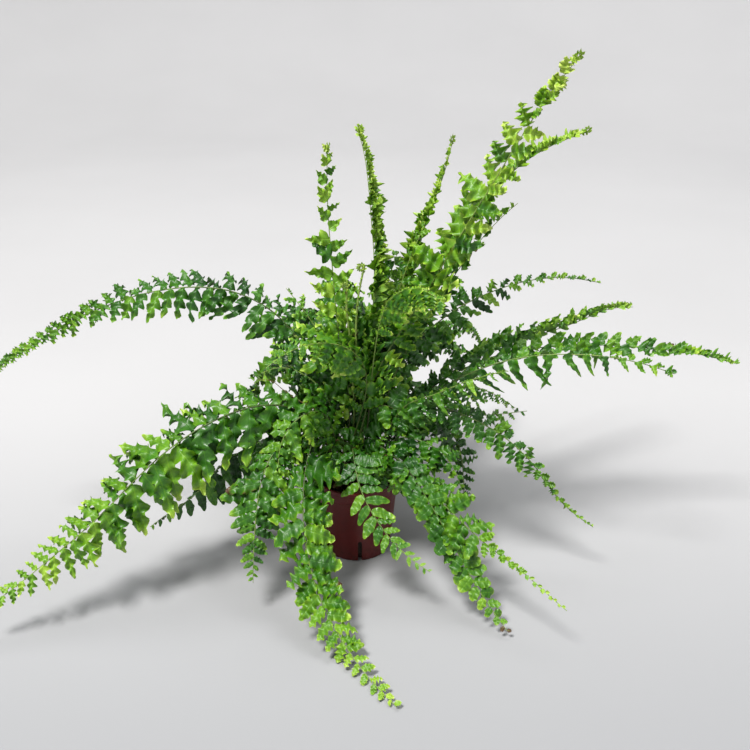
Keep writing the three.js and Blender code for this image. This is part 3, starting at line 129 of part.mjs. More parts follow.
    stations: "2.2,15.8,50,1,1,1.05;2.4,17.1,58.8,1,1,1.03;2.7,19.4,67.4,1,1,1.01;3.3,23.3,75.3,1,1,0.99;4,29.1,82,1,1,0.97;5,36.3,87.2,5.7,11.4,0.95;6,44.3,90.8,13,6.5,0.93;7,53,92.6,7.3,14.6,0.91;8,61.8,92.4,16.3,8.1,0.89;8.9,70.4,90.4,9,17.9,0.87;9.6,78.5,86.6,18.4,9.2,0.85;10.3,85.8,81.7,9.1,18.3,0.81;10.8,92.6,76,17.4,8.7,0.77;11.2,99,69.7,7.9,15.8,0.73;11.6,104.8,63,13.6,6.8,0.69;11.8,110.2,55.9,5.6,11.2,0.65;11.9,115.4,48.7,8.7,4.3,0.61;12,120.2,41.2,3.2,6.3,0.57;11.9,124.8,33.5,4.4,2.2,0.53;11.8,129.2,25.8,1.5,3.1,0.49;11.7,133.5,18,0.6,0.6,0.45" },
  { name: "frond_back_11", tone: "leaf", face: [0.091, -0.273, 0.958], droop: 16,
    stations: "-6.3,14.7,50,1,1,1.05;-6.8,16,59.1,1,1,1.03;-7.7,18.2,68,1,1,1.01;-9.3,22.1,76.2,1,1,0.99;-11.7,27.7,83.1,1,1,0.97;-14.5,34.6,88.5,5.9,11.8,0.94;-17.6,42.4,92.3,13.5,6.8,0.92;-20.9,50.8,94.2,7.6,15.2,0.9;-24.1,59.4,94,17,8.5,0.88;-27.2,67.8,91.7,9.2,18.4,0.86;-30,75.7,87.7,18.4,9.2,0.83;-32.4,82.9,82.5,8.9,17.9,0.79;-34.5,89.4,76.3,16.4,8.2,0.74;-36.3,95.4,69.6,7.2,14.3,0.7;-37.9,100.9,62.3,11.8,5.9,0.66;-39.1,105.9,54.6,4.6,9.2,0.62;-40.2,110.5,46.7,6.7,3.3,0.58;-41,114.8,38.6,2.3,4.6,0.53;-41.7,118.9,30.3,3.1,1.6,0.49;-42.3,122.9,22,0.6,0.6,0.45" },
];

// ---- materials ----
const plastic = new THREE.MeshStandardMaterial({ color: 0x6b2a22, roughness: 0.5, metalness: 0 });
const earth = new THREE.MeshStandardMaterial({ color: 0x2b1c12, roughness: 1, metalness: 0 });
const scales = new THREE.MeshStandardMaterial({ color: 0x4a3018, roughness: 0.95, metalness: 0 });
const greens = {
  leaf: new THREE.MeshStandardMaterial({ color: 0x2f6f1c, roughness: 0.5, metalness: 0 }),
  young: new THREE.MeshStandardMaterial({ color: 0x57902c, roughness: 0.5, metalness: 0 }),
  dry: new THREE.MeshStandardMaterial({ color: 0x8a6a3c, roughness: 0.8, metalness: 0 }),
};

const fern = new THREE.Group();
fern.name = "potted_fern";

const wasm = await Module();
wasm.setup();

function toSolid(geometry) {
  const bare = new THREE.BufferGeometry();
  const flat = geometry.index ? geometry.toNonIndexed() : geometry;
  bare.setAttribute("position", flat.getAttribute("position"));
  const merged = mergeVertices(bare, 1e-3);
  return new wasm.Manifold(
    new wasm.Mesh({
      numProp: 3,
      vertProperties: merged.attributes.position.array,
      triVerts: new Uint32Array(merged.index.array),
    }),
  );
}

function toGeometry(solid) {
  const m = solid.getMesh();
  const g = new THREE.BufferGeometry();
  g.setAttribute("position", new THREE.BufferAttribute(new Float32Array(m.vertProperties), 3));
  g.setIndex(new THREE.BufferAttribute(new Uint32Array(m.triVerts), 1));
  g.computeVertexNormals();
  return g;
}

function add(name, geometry, material) {
  const mesh = new THREE.Mesh(geometry, material);
  mesh.name = name;
  fern.add(mesh);
  return mesh;
}

// A profile of [radius, height] turned about the Z axis.
function turned(profile, segments) {
  const g = new THREE.LatheGeometry(profile.map(([r, z]) => new THREE.Vector2(r, z)), segments);
  g.rotateX(Math.PI / 2);
  return g;
}

// ---- pot: a tapered thin-walled cup with a collar, a rolled rim, a moulded ring
// under the floor and tall slits at the base corner ----
const COLLAR_Z = POT_HEIGHT - COLLAR_HEIGHT;
const wallRadius = (z) => BASE_RADIUS + ((RIM_RADIUS - 1.5 - BASE_RADIUS) * z) / COLLAR_Z;
const innerRadius = (z) => wallRadius(Math.min(z, COLLAR_Z)) - WALL + (z > COLLAR_Z ? 0.5 : 0);
const potProfile = [
  [0, 0], [9, 0], [9.7, 0.6], [17.2, 0.6], [17.9, 0], [BASE_RADIUS - 0.6, 0], [BASE_RADIUS, 0.6],
  [wallRadius(COLLAR_Z - 0.8), COLLAR_Z - 0.8],
  [RIM_RADIUS - 0.8, COLLAR_Z],
  [RIM_RADIUS - 0.5, POT_HEIGHT - 2.2],
  [RIM_RADIUS, POT_HEIGHT - 1.6], [RIM_RADIUS, POT_HEIGHT - 0.5], [RIM_RADIUS - 0.5, POT_HEIGHT],
  [RIM_RADIUS - 1.2, POT_HEIGHT], [RIM_RADIUS - 1.7, POT_HEIGHT - 0.6],
  [innerRadius(COLLAR_Z + 0.4), COLLAR_Z + 0.4],
  [innerRadius(COLLAR_Z - 1.2), COLLAR_Z - 1.2],
  [innerRadius(FLOOR + 1), FLOOR + 1], [innerRadius(FLOOR) - 0.9, FLOOR], [0, FLOOR],
];
let pot = toSolid(turned(potProfile, POT_SEGMENTS));
for (let i = 0; i < SLITS; i++) {
  const a = THREE.MathUtils.degToRad(SLIT_FIRST + (i * 360) / SLITS);
  const cut = new THREE.BoxGeometry(10, SLIT_WIDTH, SLIT_HEIGHT + 2);
  cut.translate(24.4, 0, (SLIT_HEIGHT + 2) / 2 - 2);
  cut.rotateZ(a);
  pot = pot.subtract(toSolid(cut));
}
add("pot", toGeometry(pot), plastic);

// ---- potting soil: one plug that fills the pot, with a round seat for the crown ----
add(
  "potting_soil",
  turned(
    [
      [0, FLOOR + SOIL_GAP],
      [innerRadius(FLOOR) - 1.6, FLOOR + SOIL_GAP],
      [innerRadius(5) - SOIL_GAP, 5],
      [innerRadius(24) - SOIL_GAP, 24],
      [innerRadius(SOIL_TOP) - SOIL_GAP - 0.1, SOIL_TOP - 0.8],
      [innerRadius(SOIL_TOP) - SOIL_GAP - 1.2, SOIL_TOP],
      [CROWN_RADIUS + 4, SOIL_TOP - 0.4],
      [CROWN_RADIUS + 0.4, SOIL_TOP],
      [CROWN_RADIUS + 0.4, CROWN_BOTTOM - 0.4],
      [0, CROWN_BOTTOM - 0.4],
    ],
    POT_SEGMENTS,
  ),
  earth,
);

// ---- crown: the short rhizome, level with the soil, that the stipes grow out of ----
add(
  "crown",
  turned(
    [
      [0, CROWN_BOTTOM],
      [CROWN_RADIUS - 1.5, CROWN_BOTTOM],
      [CROWN_RADIUS, CROWN_BOTTOM + 2],
      [CROWN_RADIUS, CROWN_TOP - 1.4],
      [CROWN_RADIUS - 1.4, CROWN_TOP],
      [0, CROWN_TOP],
    ],
    32,
  ),
  scales,
);

// ---- fronds ----
function loft(stations, face, droop) {
  const n = stations.length;
  const at = stations.map((s) => new THREE.Vector3(s[0], s[1], s[2]));
  const F = new THREE.Vector3(...face);
  const cos = Math.cos(THREE.MathUtils.degToRad(droop));
  const sin = Math.sin(THREE.MathUtils.degToRad(droop));
  const rings = [];
  for (let i = 0; i < n; i++) {
    const t = at[Math.min(i + 1, n - 1)].clone().sub(at[Math.max(i - 1, 0)]).normalize();
    const up = F.clone().addScaledVector(t, -F.dot(t)).normalize();
    const side = new THREE.Vector3().crossVectors(t, up);
    const [, , , left, right, half] = stations[i];
    const edge = (sign, w) => {
      const bare = w < 1.3;
      return at[i].clone()
        .addScaledVector(side, sign * w * (bare ? 1 : cos))
        .addScaledVector(up, bare ? 0 : -w * sin);
    };
    const ring = [edge(-1, left), at[i].clone().addScaledVector(up, half), edge(1, right), at[i].clone().addScaledVector(up, -half)];
    for (const k of [0, 2, 3]) ring[k].z = Math.max(ring[k].z, 0.35);
    rings.push(ring);
  }
  const pos = [];
  for (const ring of rings) for (const v of ring) pos.push(v.x, v.y, v.z);
  const index = [];
  for (let i = 0; i < n - 1; i++)
    for (let k = 0; k < 4; k++) {
      const a = i * 4 + k, b = i * 4 + ((k + 1) % 4);
      index.push(a, b, a + 4, b, b + 4, a + 4);
    }
  const o = (n - 1) * 4;
  index.push(0, 2, 1, 0, 3, 2, o, o + 1, o + 2, o, o + 2, o + 3);
  const g = new THREE.BufferGeometry();
  g.setAttribute("position", new THREE.Float32BufferAttribute(pos, 3));
  g.setIndex(index);
  g.computeVertexNormals();
  return g;
}

for (const frond of FRONDS) {
  const stations = frond.stations.split(";").map((row) => row.split(",").map(Number));
  add(frond.name, loft(stations, frond.face, frond.droop), greens[frond.tone]);
}

export default fern;
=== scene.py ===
"""A young sword fern in a small nursery pot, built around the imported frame. Metres, +Z up."""
import math
import bpy
import numpy as np
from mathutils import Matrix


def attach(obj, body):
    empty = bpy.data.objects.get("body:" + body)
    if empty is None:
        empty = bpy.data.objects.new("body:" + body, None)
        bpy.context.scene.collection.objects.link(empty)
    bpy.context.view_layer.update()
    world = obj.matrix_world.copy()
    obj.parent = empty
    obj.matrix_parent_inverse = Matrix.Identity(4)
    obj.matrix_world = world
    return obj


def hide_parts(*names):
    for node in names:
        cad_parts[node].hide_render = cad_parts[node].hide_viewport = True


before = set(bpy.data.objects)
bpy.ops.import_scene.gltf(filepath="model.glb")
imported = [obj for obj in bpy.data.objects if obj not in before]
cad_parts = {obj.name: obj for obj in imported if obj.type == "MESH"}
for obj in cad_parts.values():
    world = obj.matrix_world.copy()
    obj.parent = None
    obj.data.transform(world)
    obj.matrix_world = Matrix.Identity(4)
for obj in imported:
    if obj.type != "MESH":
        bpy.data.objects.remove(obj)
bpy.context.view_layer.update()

MM = 0.001

# ------------------------------------------------------------------ camera
cam_data = bpy.data.cameras.new("camera")
cam = bpy.data.objects.new("camera", cam_data)
bpy.context.scene.collection.objects.link(cam)
cam.location = (0.012928, -0.538713, 0.382758)
cam.rotation_euler = (math.radians(65.0), 0.0, 0.0)
cam_data.sensor_width = 36.0
cam_data.lens = 36.0 * 905.0 / 750.0
cam_data.clip_start = 0.01
cam_data.clip_end = 50.0
bpy.context.scene.camera = cam
bpy.context.scene.view_settings.view_transform = "Standard"

# ------------------------------------------------------------------ helpers


def mesh_object(name, verts, faces_flat, sizes, mats, mat_index=None, sharp=None, smooth=True):
    """One mesh object from arrays: vertices, the faces' vertex numbers in one row, and each face's size."""
    me = bpy.data.meshes.new(name)
    verts = np.asarray(verts, np.float32)
    faces_flat = np.asarray(faces_flat, np.int32)
    sizes = np.asarray(sizes, np.int32)
    me.vertices.add(len(verts))
    me.vertices.foreach_set("co", verts.ravel())
    me.loops.add(len(faces_flat))
    me.loops.foreach_set("vertex_index", faces_flat)
    me.polygons.add(len(sizes))
    starts = np.concatenate([[0], np.cumsum(sizes)[:-1]]).astype(np.int32)
    me.polygons.foreach_set("loop_start", starts)
    if mat_index is not None:
        me.polygons.foreach_set("material_index", np.asarray(mat_index, np.int32))
    me.polygons.foreach_set("use_smooth", np.full(len(sizes), smooth))
    me.update(calc_edges=True)
    if sharp is not None:
        ed = np.empty(len(me.edges) * 2, np.int32)
        me.edges.foreach_get("vertices", ed)
        ed = ed.reshape(-1, 2)
        flag = sharp[ed[:, 0]] & sharp[ed[:, 1]]
        me.edges.foreach_set("use_edge_sharp", flag)
    for m in mats:
        me.materials.append(m)
    ob = bpy.data.objects.new(name, me)
    bpy.context.scene.collection.objects.link(ob)
    return ob


def vec_attr(me, name, data, domain="POINT"):
    a = me.attributes.new(name, "FLOAT_VECTOR", domain)
    a.data.foreach_set("vector", np.asarray(data, np.float32).ravel())


def unit(v):
    return v / np.maximum(np.linalg.norm(v, axis=-1, keepdims=True), 1e-9)


def catmull(P, per):
    """A smooth curve through P with `per` steps in each span."""
    Q = np.vstack([2 * P[0] - P[1], P, 2 * P[-1] - P[-2]])
    t = np.linspace(0, 1, per, endpoint=False)[:, None]
    out = []
    for i in range(len(P) - 1):
        a, b, c, d = Q[i : i + 4]
        out.append(0.5 * (2 * b + (c - a) * t + (2 * a - 5 * b + 4 * c - d) * t**2 + (3 * b - a - 3 * c + d) * t**3))
    out.append(P[-1:])
    return np.vstack(out)


def even(X, step):
    L = np.concatenate([[0], np.cumsum(np.linalg.norm(np.diff(X, axis=0), axis=1))])
    n = max(4, int(round(L[-1] / step)) + 1)
    s = np.linspace(0, L[-1], n)
    return np.stack([np.interp(s, L, X[:, k]) for k in range(3)], 1), s


def smoothstep(a, b, x):
    x = np.clip((x - a) / (b - a), 0, 1)
    return x * x * (3 - 2 * x)

# ------------------------------------------------------------------ materials


def new_material(name):
    m = bpy.data.materials.new(name)
    m.use_nodes = True
    nt = m.node_tree
    nt.nodes.clear()
    out = nt.nodes.new("ShaderNodeOutputMaterial")
    return m, nt, out


class N:
    """Short hand for building a node tree."""

    def __init__(self, nt):
        self.nt = nt

    def node(self, kind, **kw):
        n = self.nt.nodes.new(kind)
        for k, v in kw.items():
            setattr(n, k, v)
        return n

    def link(self, a, b):
        self.nt.links.new(a, b)

    def put(self, sock, v):
        if hasattr(v, "is_linked"):
            self.link(v, sock)
        else:
            sock.default_value = v

    def math(self, op, a, b=0.0, c=0.0, clamp=False):
        n = self.node("ShaderNodeMath", operation=op, use_clamp=clamp)
        self.put(n.inputs[0], a)
        self.put(n.inputs[1], b)
        self.put(n.inputs[2], c)
        return n.outputs[0]

    def attr(self, name):
        n = self.node("ShaderNodeAttribute", attribute_type="GEOMETRY", attribute_name=name)
        return n

    def split(self, v):
        n = self.node("ShaderNodeSeparateXYZ")
        self.link(v, n.inputs[0])
        return n.outputs

    def noise(self, vec, scale, detail=3.0, rough=0.55, dist=0.0):
        n = self.node("ShaderNodeTexNoise")
        self.link(vec, n.inputs["Vector"])
        n.inputs["Scale"].default_value = scale
        n.inputs["Detail"].default_value = detail
        n.inputs["Roughness"].default_value = rough
        n.inputs["Distortion"].default_value = dist
        return n.outputs["Fac"]

    def ramp(self, fac, stops, interp="LINEAR"):
        n = self.node("ShaderNodeValToRGB")
        n.color_ramp.interpolation = interp
        el = n.color_ramp.elements
        while len(el) > 1:
            el.remove(el[-1])
        el[0].position = stops[0][0]
        el[0].color = (*stops[0][1], 1)
        for p, c in stops[1:]:
            e = el.new(p)
            e.color = (*c, 1)
        self.link(fac, n.inputs[0])
        return n.outputs[0]

    def mix(self, fac, a, b, mode="MIX"):
        n = self.node("ShaderNodeMix", data_type="RGBA", blend_type=mode)
        self.put(n.inputs[0], fac)
        for s, v in ((n.inputs[6], a), (n.inputs[7], b)):
            if hasattr(v, "is_linked"):
                self.link(v, s)
            else:
                s.default_value = (*v, 1)
        return n.outputs[2]

    def step(self, v, lo, hi, a=0.0, b=1.0):
        n = self.node("ShaderNodeMapRange", interpolation_type="SMOOTHSTEP")
        self.put(n.inputs[0], v)
        n.inputs[1].default_value = lo
        n.inputs[2].default_value = hi
        n.inputs[3].default_value = a
        n.inputs[4].default_value = b
        return n.outputs[0]

    def bump(self, height, strength, distance):
        n = self.node("ShaderNodeBump")
        n.inputs["Strength"].default_value = strength
        n.inputs["Distance"].default_value = distance
        self.link(height, n.inputs["Height"])
        return n.outputs[0]

    def obj(self):
        return self.node("ShaderNodeTexCoord").outputs["Object"]


def leaf_material():
    m, nt, out = new_material("fern_leaf")
    g = N(nt)
    tone = g.split(g.attr("tone").outputs["Vector"])  # how light, random, how brown
    leaf = g.split(g.attr("leaf").outputs["Vector"])  # mm along, mm across, side-vein phase
    under = g.attr("under").outputs["Fac"]
    co = g.obj()
    blotch = g.noise(co, 160.0, 3.0, 0.6)
    fine = g.noise(co, 900.0, 2.0, 0.6)
    across = g.math("ABSOLUTE", leaf[1])
    midrib = g.step(across, 0.12, 0.55, 1.0, 0.0)
    saw = g.math("PINGPONG", leaf[2], 0.5)
    vein = g.step(saw, 0.0, 0.10, 1.0, 0.0)
    reach = g.step(across, 0.2, 1.2)
    vein = g.math("MULTIPLY", vein, reach)
    light = g.math("ADD", tone[0], g.math("MULTIPLY", g.math("SUBTRACT", blotch, 0.5), 0.42))
    light = g.math("ADD", light, g.math("MULTIPLY", g.math("SUBTRACT", fine, 0.5), 0.10))
    light = g.math("ADD", light, g.math("MULTIPLY", midrib, 0.07))
    light = g.math("ADD", light, g.math("MULTIPLY", vein, 0.03))
    col = g.ramp(
        light,
        [
            (0.0, (0.0016, 0.030, 0.0004)),
            (0.2, (0.0062, 0.068, 0.0006)),
            (0.4, (0.0420, 0.184, 0.0020)),
            (0.6, (0.1700, 0.385, 0.0100)),
            (0.8, (0.4000, 0.600, 0.0500)),
            (1.0, (0.6000, 0.730, 0.1600)),
        ],
    )
    pale = g.mix(0.35, col, (0.095, 0.200, 0.022))
    col = g.mix(under, col, pale)
    brown = g.mix(fine, (0.035, 0.016, 0.006), (0.16, 0.075, 0.02))
    col = g.mix(g.step(g.math("ADD", tone[2], g.math("MULTIPLY", g.math("SUBTRACT", blotch, 0.5), 0.6)), 0.35, 0.6), col, brown)
    rough = g.math("ADD", g.step(blotch, 0.3, 0.7, 0.36, 0.48), g.math("MULTIPLY", under, 0.25))
    h = g.math("SUBTRACT", g.math("MULTIPLY", fine, 0.05), g.math("MULTIPLY", vein, 0.16))
    h = g.math("SUBTRACT", h, g.math("MULTIPLY", midrib, 0.8))
    h = g.math("ADD", h, g.math("MULTIPLY", g.noise(co, 300.0, 1.0), 0.9))
    p = g.node("ShaderNodeBsdfPrincipled")
    g.link(col, p.inputs["Base Color"])
    g.link(rough, p.inputs["Roughness"])
    g.link(g.bump(h, 0.6, 0.00026), p.inputs["Normal"])
    p.inputs["Specular IOR Level"].default_value = 0.68
    tr = g.node("ShaderNodeBsdfTranslucent")
    hsv = g.node("ShaderNodeHueSaturation")
    hsv.inputs["Saturation"].default_value = 1.1
    hsv.inputs["Value"].default_value = 1.5
    g.link(col, hsv.inputs["Color"])
    g.link(hsv.outputs[0], tr.inputs["Color"])
    mx = g.node("ShaderNodeMixShader")
    mx.inputs[0].default_value = 0.20
    g.link(p.outputs[0], mx.inputs[1])
    g.link(tr.outputs[0], mx.inputs[2])
    g.link(mx.outputs[0], out.inputs[0])
    return m


def stalk_material():
    m, nt, out = new_material("fern_stalk")
    g = N(nt)
    tone = g.split(g.attr("tone").outputs["Vector"])
    co = g.obj()
    n1 = g.noise(co, 260.0, 3.0, 0.6)
    n2 = g.noise(co, 1500.0, 2.0, 0.5)
    light = g.math("ADD", tone[0], g.math("MULTIPLY", g.math("SUBTRACT", n1, 0.5), 0.5))
    col = g.ramp(
        light,
        [
            (0.0, (0.022, 0.011, 0.005)),
            (0.25, (0.034, 0.036, 0.009)),
            (0.5, (0.058, 0.105, 0.016)),
            (1.0, (0.250, 0.360, 0.075)),
        ],
    )
    col = g.mix(tone[2], col, (0.20, 0.115, 0.045))
    p = g.node("ShaderNodeBsdfPrincipled")
    g.link(col, p.inputs["Base Color"])
    g.link(g.step(n1, 0.3, 0.7, 0.38, 0.6), p.inputs["Roughness"])
    g.link(g.bump(n2, 0.5, 0.0002), p.inputs["Normal"])
    g.link(p.outputs[0], out.inputs[0])
    return m


def scale_material():
    m, nt, out = new_material("stalk_scales")
    g = N(nt)
    tone = g.split(g.attr("tone").outputs["Vector"])
    co = g.obj()
    n1 = g.noise(co, 700.0, 3.0, 0.6)
    f = g.math("ADD", g.math("MULTIPLY", tone[1], 0.7), g.math("MULTIPLY", n1, 0.4))
    col = g.ramp(f, [(0.1, (0.045, 0.018, 0.007)), (0.5, (0.14, 0.062, 0.022)), (0.95, (0.36, 0.21, 0.09))])
    p = g.node("ShaderNodeBsdfPrincipled")
    g.link(col, p.inputs["Base Color"])
    g.link(g.step(n1, 0.2, 0.8, 0.6, 0.9), p.inputs["Roughness"])
    g.link(g.bump(n1, 0.4, 0.0002), p.inputs["Normal"])
    g.link(p.outputs[0], out.inputs[0])
    return m


LEAF = leaf_material()
STALK = stalk_material()
SCALE = scale_material()

# ------------------------------------------------------------------ fronds
# ratio: length over width of a pinna; peak: where it is widest; q: how pointed; teeth, depth: the lobes of each
# margin; round: rounded or saw-toothed lobes; fine, fdep: the small teeth on each lobe; ear: the lobe at the base
# towards the frond's tip; fwd: how far the margin is swept towards the pinna's tip; fold, curl, tilt, wave: its
# relief; bend: how far its tip nods; falc: sickle bend; twist, dvar: how much neighbours differ; beta: how far
# they lean to the frond's tip; taper: where the frond starts to narrow and by how much.
STYLES = {
    "A": dict(tip=0.20, ratio=2.00, peak=0.42, q=0.44, teeth=3.3, depth=0.42, round=0.72, fine=4, fdep=0.15, ear=0.34, fwd=0.42, fold=0.06, curl=0.50, tilt=0.52, wave=0.11, bend=0.18, falc=0.04, twist=15, dvar=11, beta=12, size=1.00, taper=(0.38, 0.66)),
    "B": dict(tip=0.18, vary=0.12, spread=12, ratio=1.10, peak=0.38, q=0.60, teeth=3.2, depth=0.26, round=0.20, fine=3, fdep=0.14, ear=0.40, fwd=0.34, fold=0.20, curl=0.42, tilt=0.42, wave=0.14, bend=0.04, falc=0.04, twist=26, dvar=18, beta=14, size=1.00, taper=(0.45, 0.62)),
    "C": dict(tip=0.20, ratio=1.42, peak=0.46, q=0.44, teeth=4.0, depth=0.13, round=0.60, fine=3, fdep=0.15, ear=0.24, fwd=0.26, fold=0.10, curl=0.44, tilt=0.42, wave=0.14, bend=0.14, falc=0.05, twist=17, dvar=12, beta=14, size=1.00, taper=(0.45, 0.74)),
    "D": dict(ratio=2.10, peak=0.50, q=0.46, teeth=4.0, depth=0.06, round=0.90, fine=3, fdep=0.04, ear=0.16, fwd=0.12, fold=0.16, curl=0.26, tilt=0.16, wave=0.05, bend=0.14, falc=0.12, twist=9, dvar=7, beta=14, size=1.00, taper=(0.50, 0.74)),
    "E": dict(tip=0.18, ratio=1.85, peak=0.44, q=0.42, teeth=4.0, depth=0.22, round=0.90, fine=2, fdep=0.06, ear=0.25, fwd=0.28, fold=0.06, curl=0.62, tilt=0.62, wave=0.14, bend=0.20, falc=0.06, twist=16, dvar=11, beta=14, size=1.00, taper=(0.42, 0.72)),
    "R": dict(ratio=1.30, peak=0.52, q=0.36, teeth=3.0, depth=0.06, round=0.90, fine=3, fdep=0.05, ear=0.12, fwd=0.10, fold=0.16, curl=0.34, tilt=0.20, wave=0.06, bend=0.12, falc=0.04, twist=16, dvar=12, beta=16, size=1.00, taper=(0.66, 0.60)),
    "S": dict(ratio=2.90, peak=0.20, q=0.52, teeth=4.0, depth=0.14, round=0.50, fine=3, fdep=0.08, ear=0.50, fwd=0.25, fold=0.55, curl=0.45, tilt=0.45, wave=0.14, bend=0.30, falc=0.18, twist=18, dvar=10, beta=2, size=1.00, taper=(0.45, 0.66)),
    "T": dict(ratio=1.45, peak=0.22, q=0.70, teeth=3.0, depth=0.14, round=0.30, fine=3, fdep=0.10, ear=0.45, fwd=0.30, fold=0.60, curl=0.45, tilt=0.34, wave=0.10, bend=-0.22, falc=0.20, twist=16, dvar=10, beta=32, size=1.00, taper=(0.55, 0.60)),
    "U": dict(tip=0.22, vary=0.10, spread=10, ratio=1.50, peak=0.26, q=0.82, teeth=2.5, depth=0.22, round=0.25, fine=3, fdep=0.13, ear=0.45, fwd=0.45, fold=0.28, curl=0.40, tilt=0.40, wave=0.10, bend=-0.20, falc=0.16, twist=18, dvar=12, beta=14, size=1.00, taper=(0.50, 0.58)),
    "K": dict(tip=0.34, vary=0.05, spread=4, ratio=2.25, peak=0.36, q=0.50, teeth=5.0, depth=0.16, round=0.25, fine=2, fdep=0.08, ear=0.25, fwd=0.30, fold=0.16, curl=0.40, tilt=0.26, wave=0.05, bend=0.10, falc=0.05, twist=7, dvar=6, beta=10, size=1.00, taper=(0.40, 0.62)),
    "N": dict(ratio=1.4, peak=0.45, q=0.5, teeth=2.0, depth=0.12, round=0.5, fine=3, fdep=0.10, ear=0.1, fwd=0.2, fold=0.5, curl=0.4, tilt=0.1, wave=0.0, bend=0.3, falc=0.0, twist=20, dvar=10, beta=30, size=1.00, taper=(0.5, 0.5)),
}
# what sets one frond apart from its kind. lop: how much longer the pinnae of one side are
OWN = {
    "frond_left_high": dict(depth=0.56, ratio=2.15, q=0.56, tip=0.18, pale=0.30, taper=(0.36, 0.62), lift=-16, base=(0.85, 1.0)),
    "frond_left_low": dict(tip=0.22, pale=0.40, ratio=2.20, depth=0.56, q=0.56, ear=0.55, teeth=3.6, taper=(0.50, 0.76), dvar=8, twist=12, lift=14, lop=-0.08),
    "frond_left_low_small": dict(tip=0.05, pale=0.12),
    "frond_front_long": dict(lop=-0.04, pale=0.34, rim=0.24, vary=0.05, depth=0.20, fdep=0.20, ratio=1.5),
    "frond_front_left_outer": dict(pale=0.16, ratio=2.1, depth=0.24, round=0.35, twist=10, dvar=7, tilt=0.36, lop=0.05, taper=(0.60, 0.80), base=(0.30, 1.1)),
    "frond_front_left_inner": dict(pale=0.26, ratio=2.1, depth=0.26, round=0.30, q=0.60, twist=9, dvar=6, tilt=0.34, taper=(0.50, 0.82)),
    "frond_right_front": dict(lop=0.10, pale=0.30, depth=0.34, vary=0.05, tip=0.12),
    "frond_right_front_low": dict(pale=0.30),
    "frond_right_long": dict(ratio=1.30, q=0.55, depth=0.08),
    "frond_upright_left": dict(lop=-0.10, depth=0.28, teeth=3.0, ratio=1.50, base=(0.60, 0.9)),
    "frond_upright_center": dict(lop=-0.10, depth=0.26, q=0.5, twist=28, dvar=22),
    "frond_upright_right": dict(ratio=1.30, taper=(0.34, 0.80)),
    "frond_center_arching": dict(taper=(0.42, 0.80), pale=0.05, rim=0.30, ratio=1.8, depth=0.24, fdep=0.14, lop=0.22),
    "frond_left_mid": dict(taper=(0.25, 0.85)),
    "frond_young_right": dict(taper=(0.62, 0.55), depth=0.18, fdep=0.12, ratio=1.5, rim=0.40, fold=0.10, pale=0.0, lop=0.25),
    "frond_tall_right": dict(taper=(0.44, 0.58), pale=0.26, rim=0.26, depth=0.44, teeth=3.8, fdep=0.22, round=0.12, ratio=1.22, tilt=0.58, lop=-0.10),
}
# fronds whose outer part is still half unrolled: where the pinnae start to stay folded, and how closed they are
HALF_OPEN = {
    "frond_upright_center": (0.05, 0.45, 0.95),
    "frond_upright_right": (0.30, 0.60, 0.95),
    "frond_upright_left": (0.65, 1.00, 0.40),
    "frond_tall_right": (0.72, 0.98, 0.85),
    "frond_tall_right_back": (0.35, 0.80, 0.80),
    "frond_right_thin": (0.60, 0.95, 0.70),
    "frond_right_drooping": (0.56, 0.72, 0.90),
    "frond_right_front": (0.54, 0.68, 0.85),
    "frond_right_upper": (0.45, 0.85, 0.85),
    "frond_right_long": (0.62, 0.95, 0.75),
    "frond_right_long_lower": (0.72, 1.00, 0.80),
    "frond_right_rising": (0.70, 1.00, 0.60),
    "frond_left_high": (0.42, 0.72, 0.80),
    "frond_left_low": (0.82, 1.00, 0.55),
    "frond_front_long": (0.86, 1.00, 0.40),
    "frond_young_right": (0.80, 1.00, 0.40),
}


def margin(st, a, side, ph):
    """Half-width of a pinna from 0 to 1 along it, on the side towards the frond's tip (1) or its base (-1)."""
    up = np.clip(a / st["peak"], 0, 1)
    dn = np.clip((1 - a) / (1 - st["peak"]), 0, 1)
    body = np.where(a < st["peak"], np.sin(up * math.pi / 2) ** 0.62, dn ** st["q"])
    f = (a * st["teeth"] + ph) % 1.0
    notch = np.exp(-((np.minimum(f, 1 - f) / 0.18) ** 2))
    saw = np.where(f < 0.78, f / 0.78, (1 - f) / 0.22)
    lobe = st["round"] * (1 - notch) + (1 - st["round"]) * saw
    out = body * (1 - st["depth"] * (1 - 0.6 * smoothstep(0.82, 1.0, a)) * (1 - lobe))
    f2 = (a * st["teeth"] * st["fine"] + ph * 2.0) % 1.0
    out = out * (1 - st["fdep"] * (1 - f2))
    if side > 0:
        out = out * (1 + st["ear"] * np.exp(-(((a - 0.16) / 0.11) ** 2)))
    else:
        out = out * (1 + 0.3 * st["ear"] * np.exp(-(((a - 0.14) / 0.10) ** 2)))
    return out


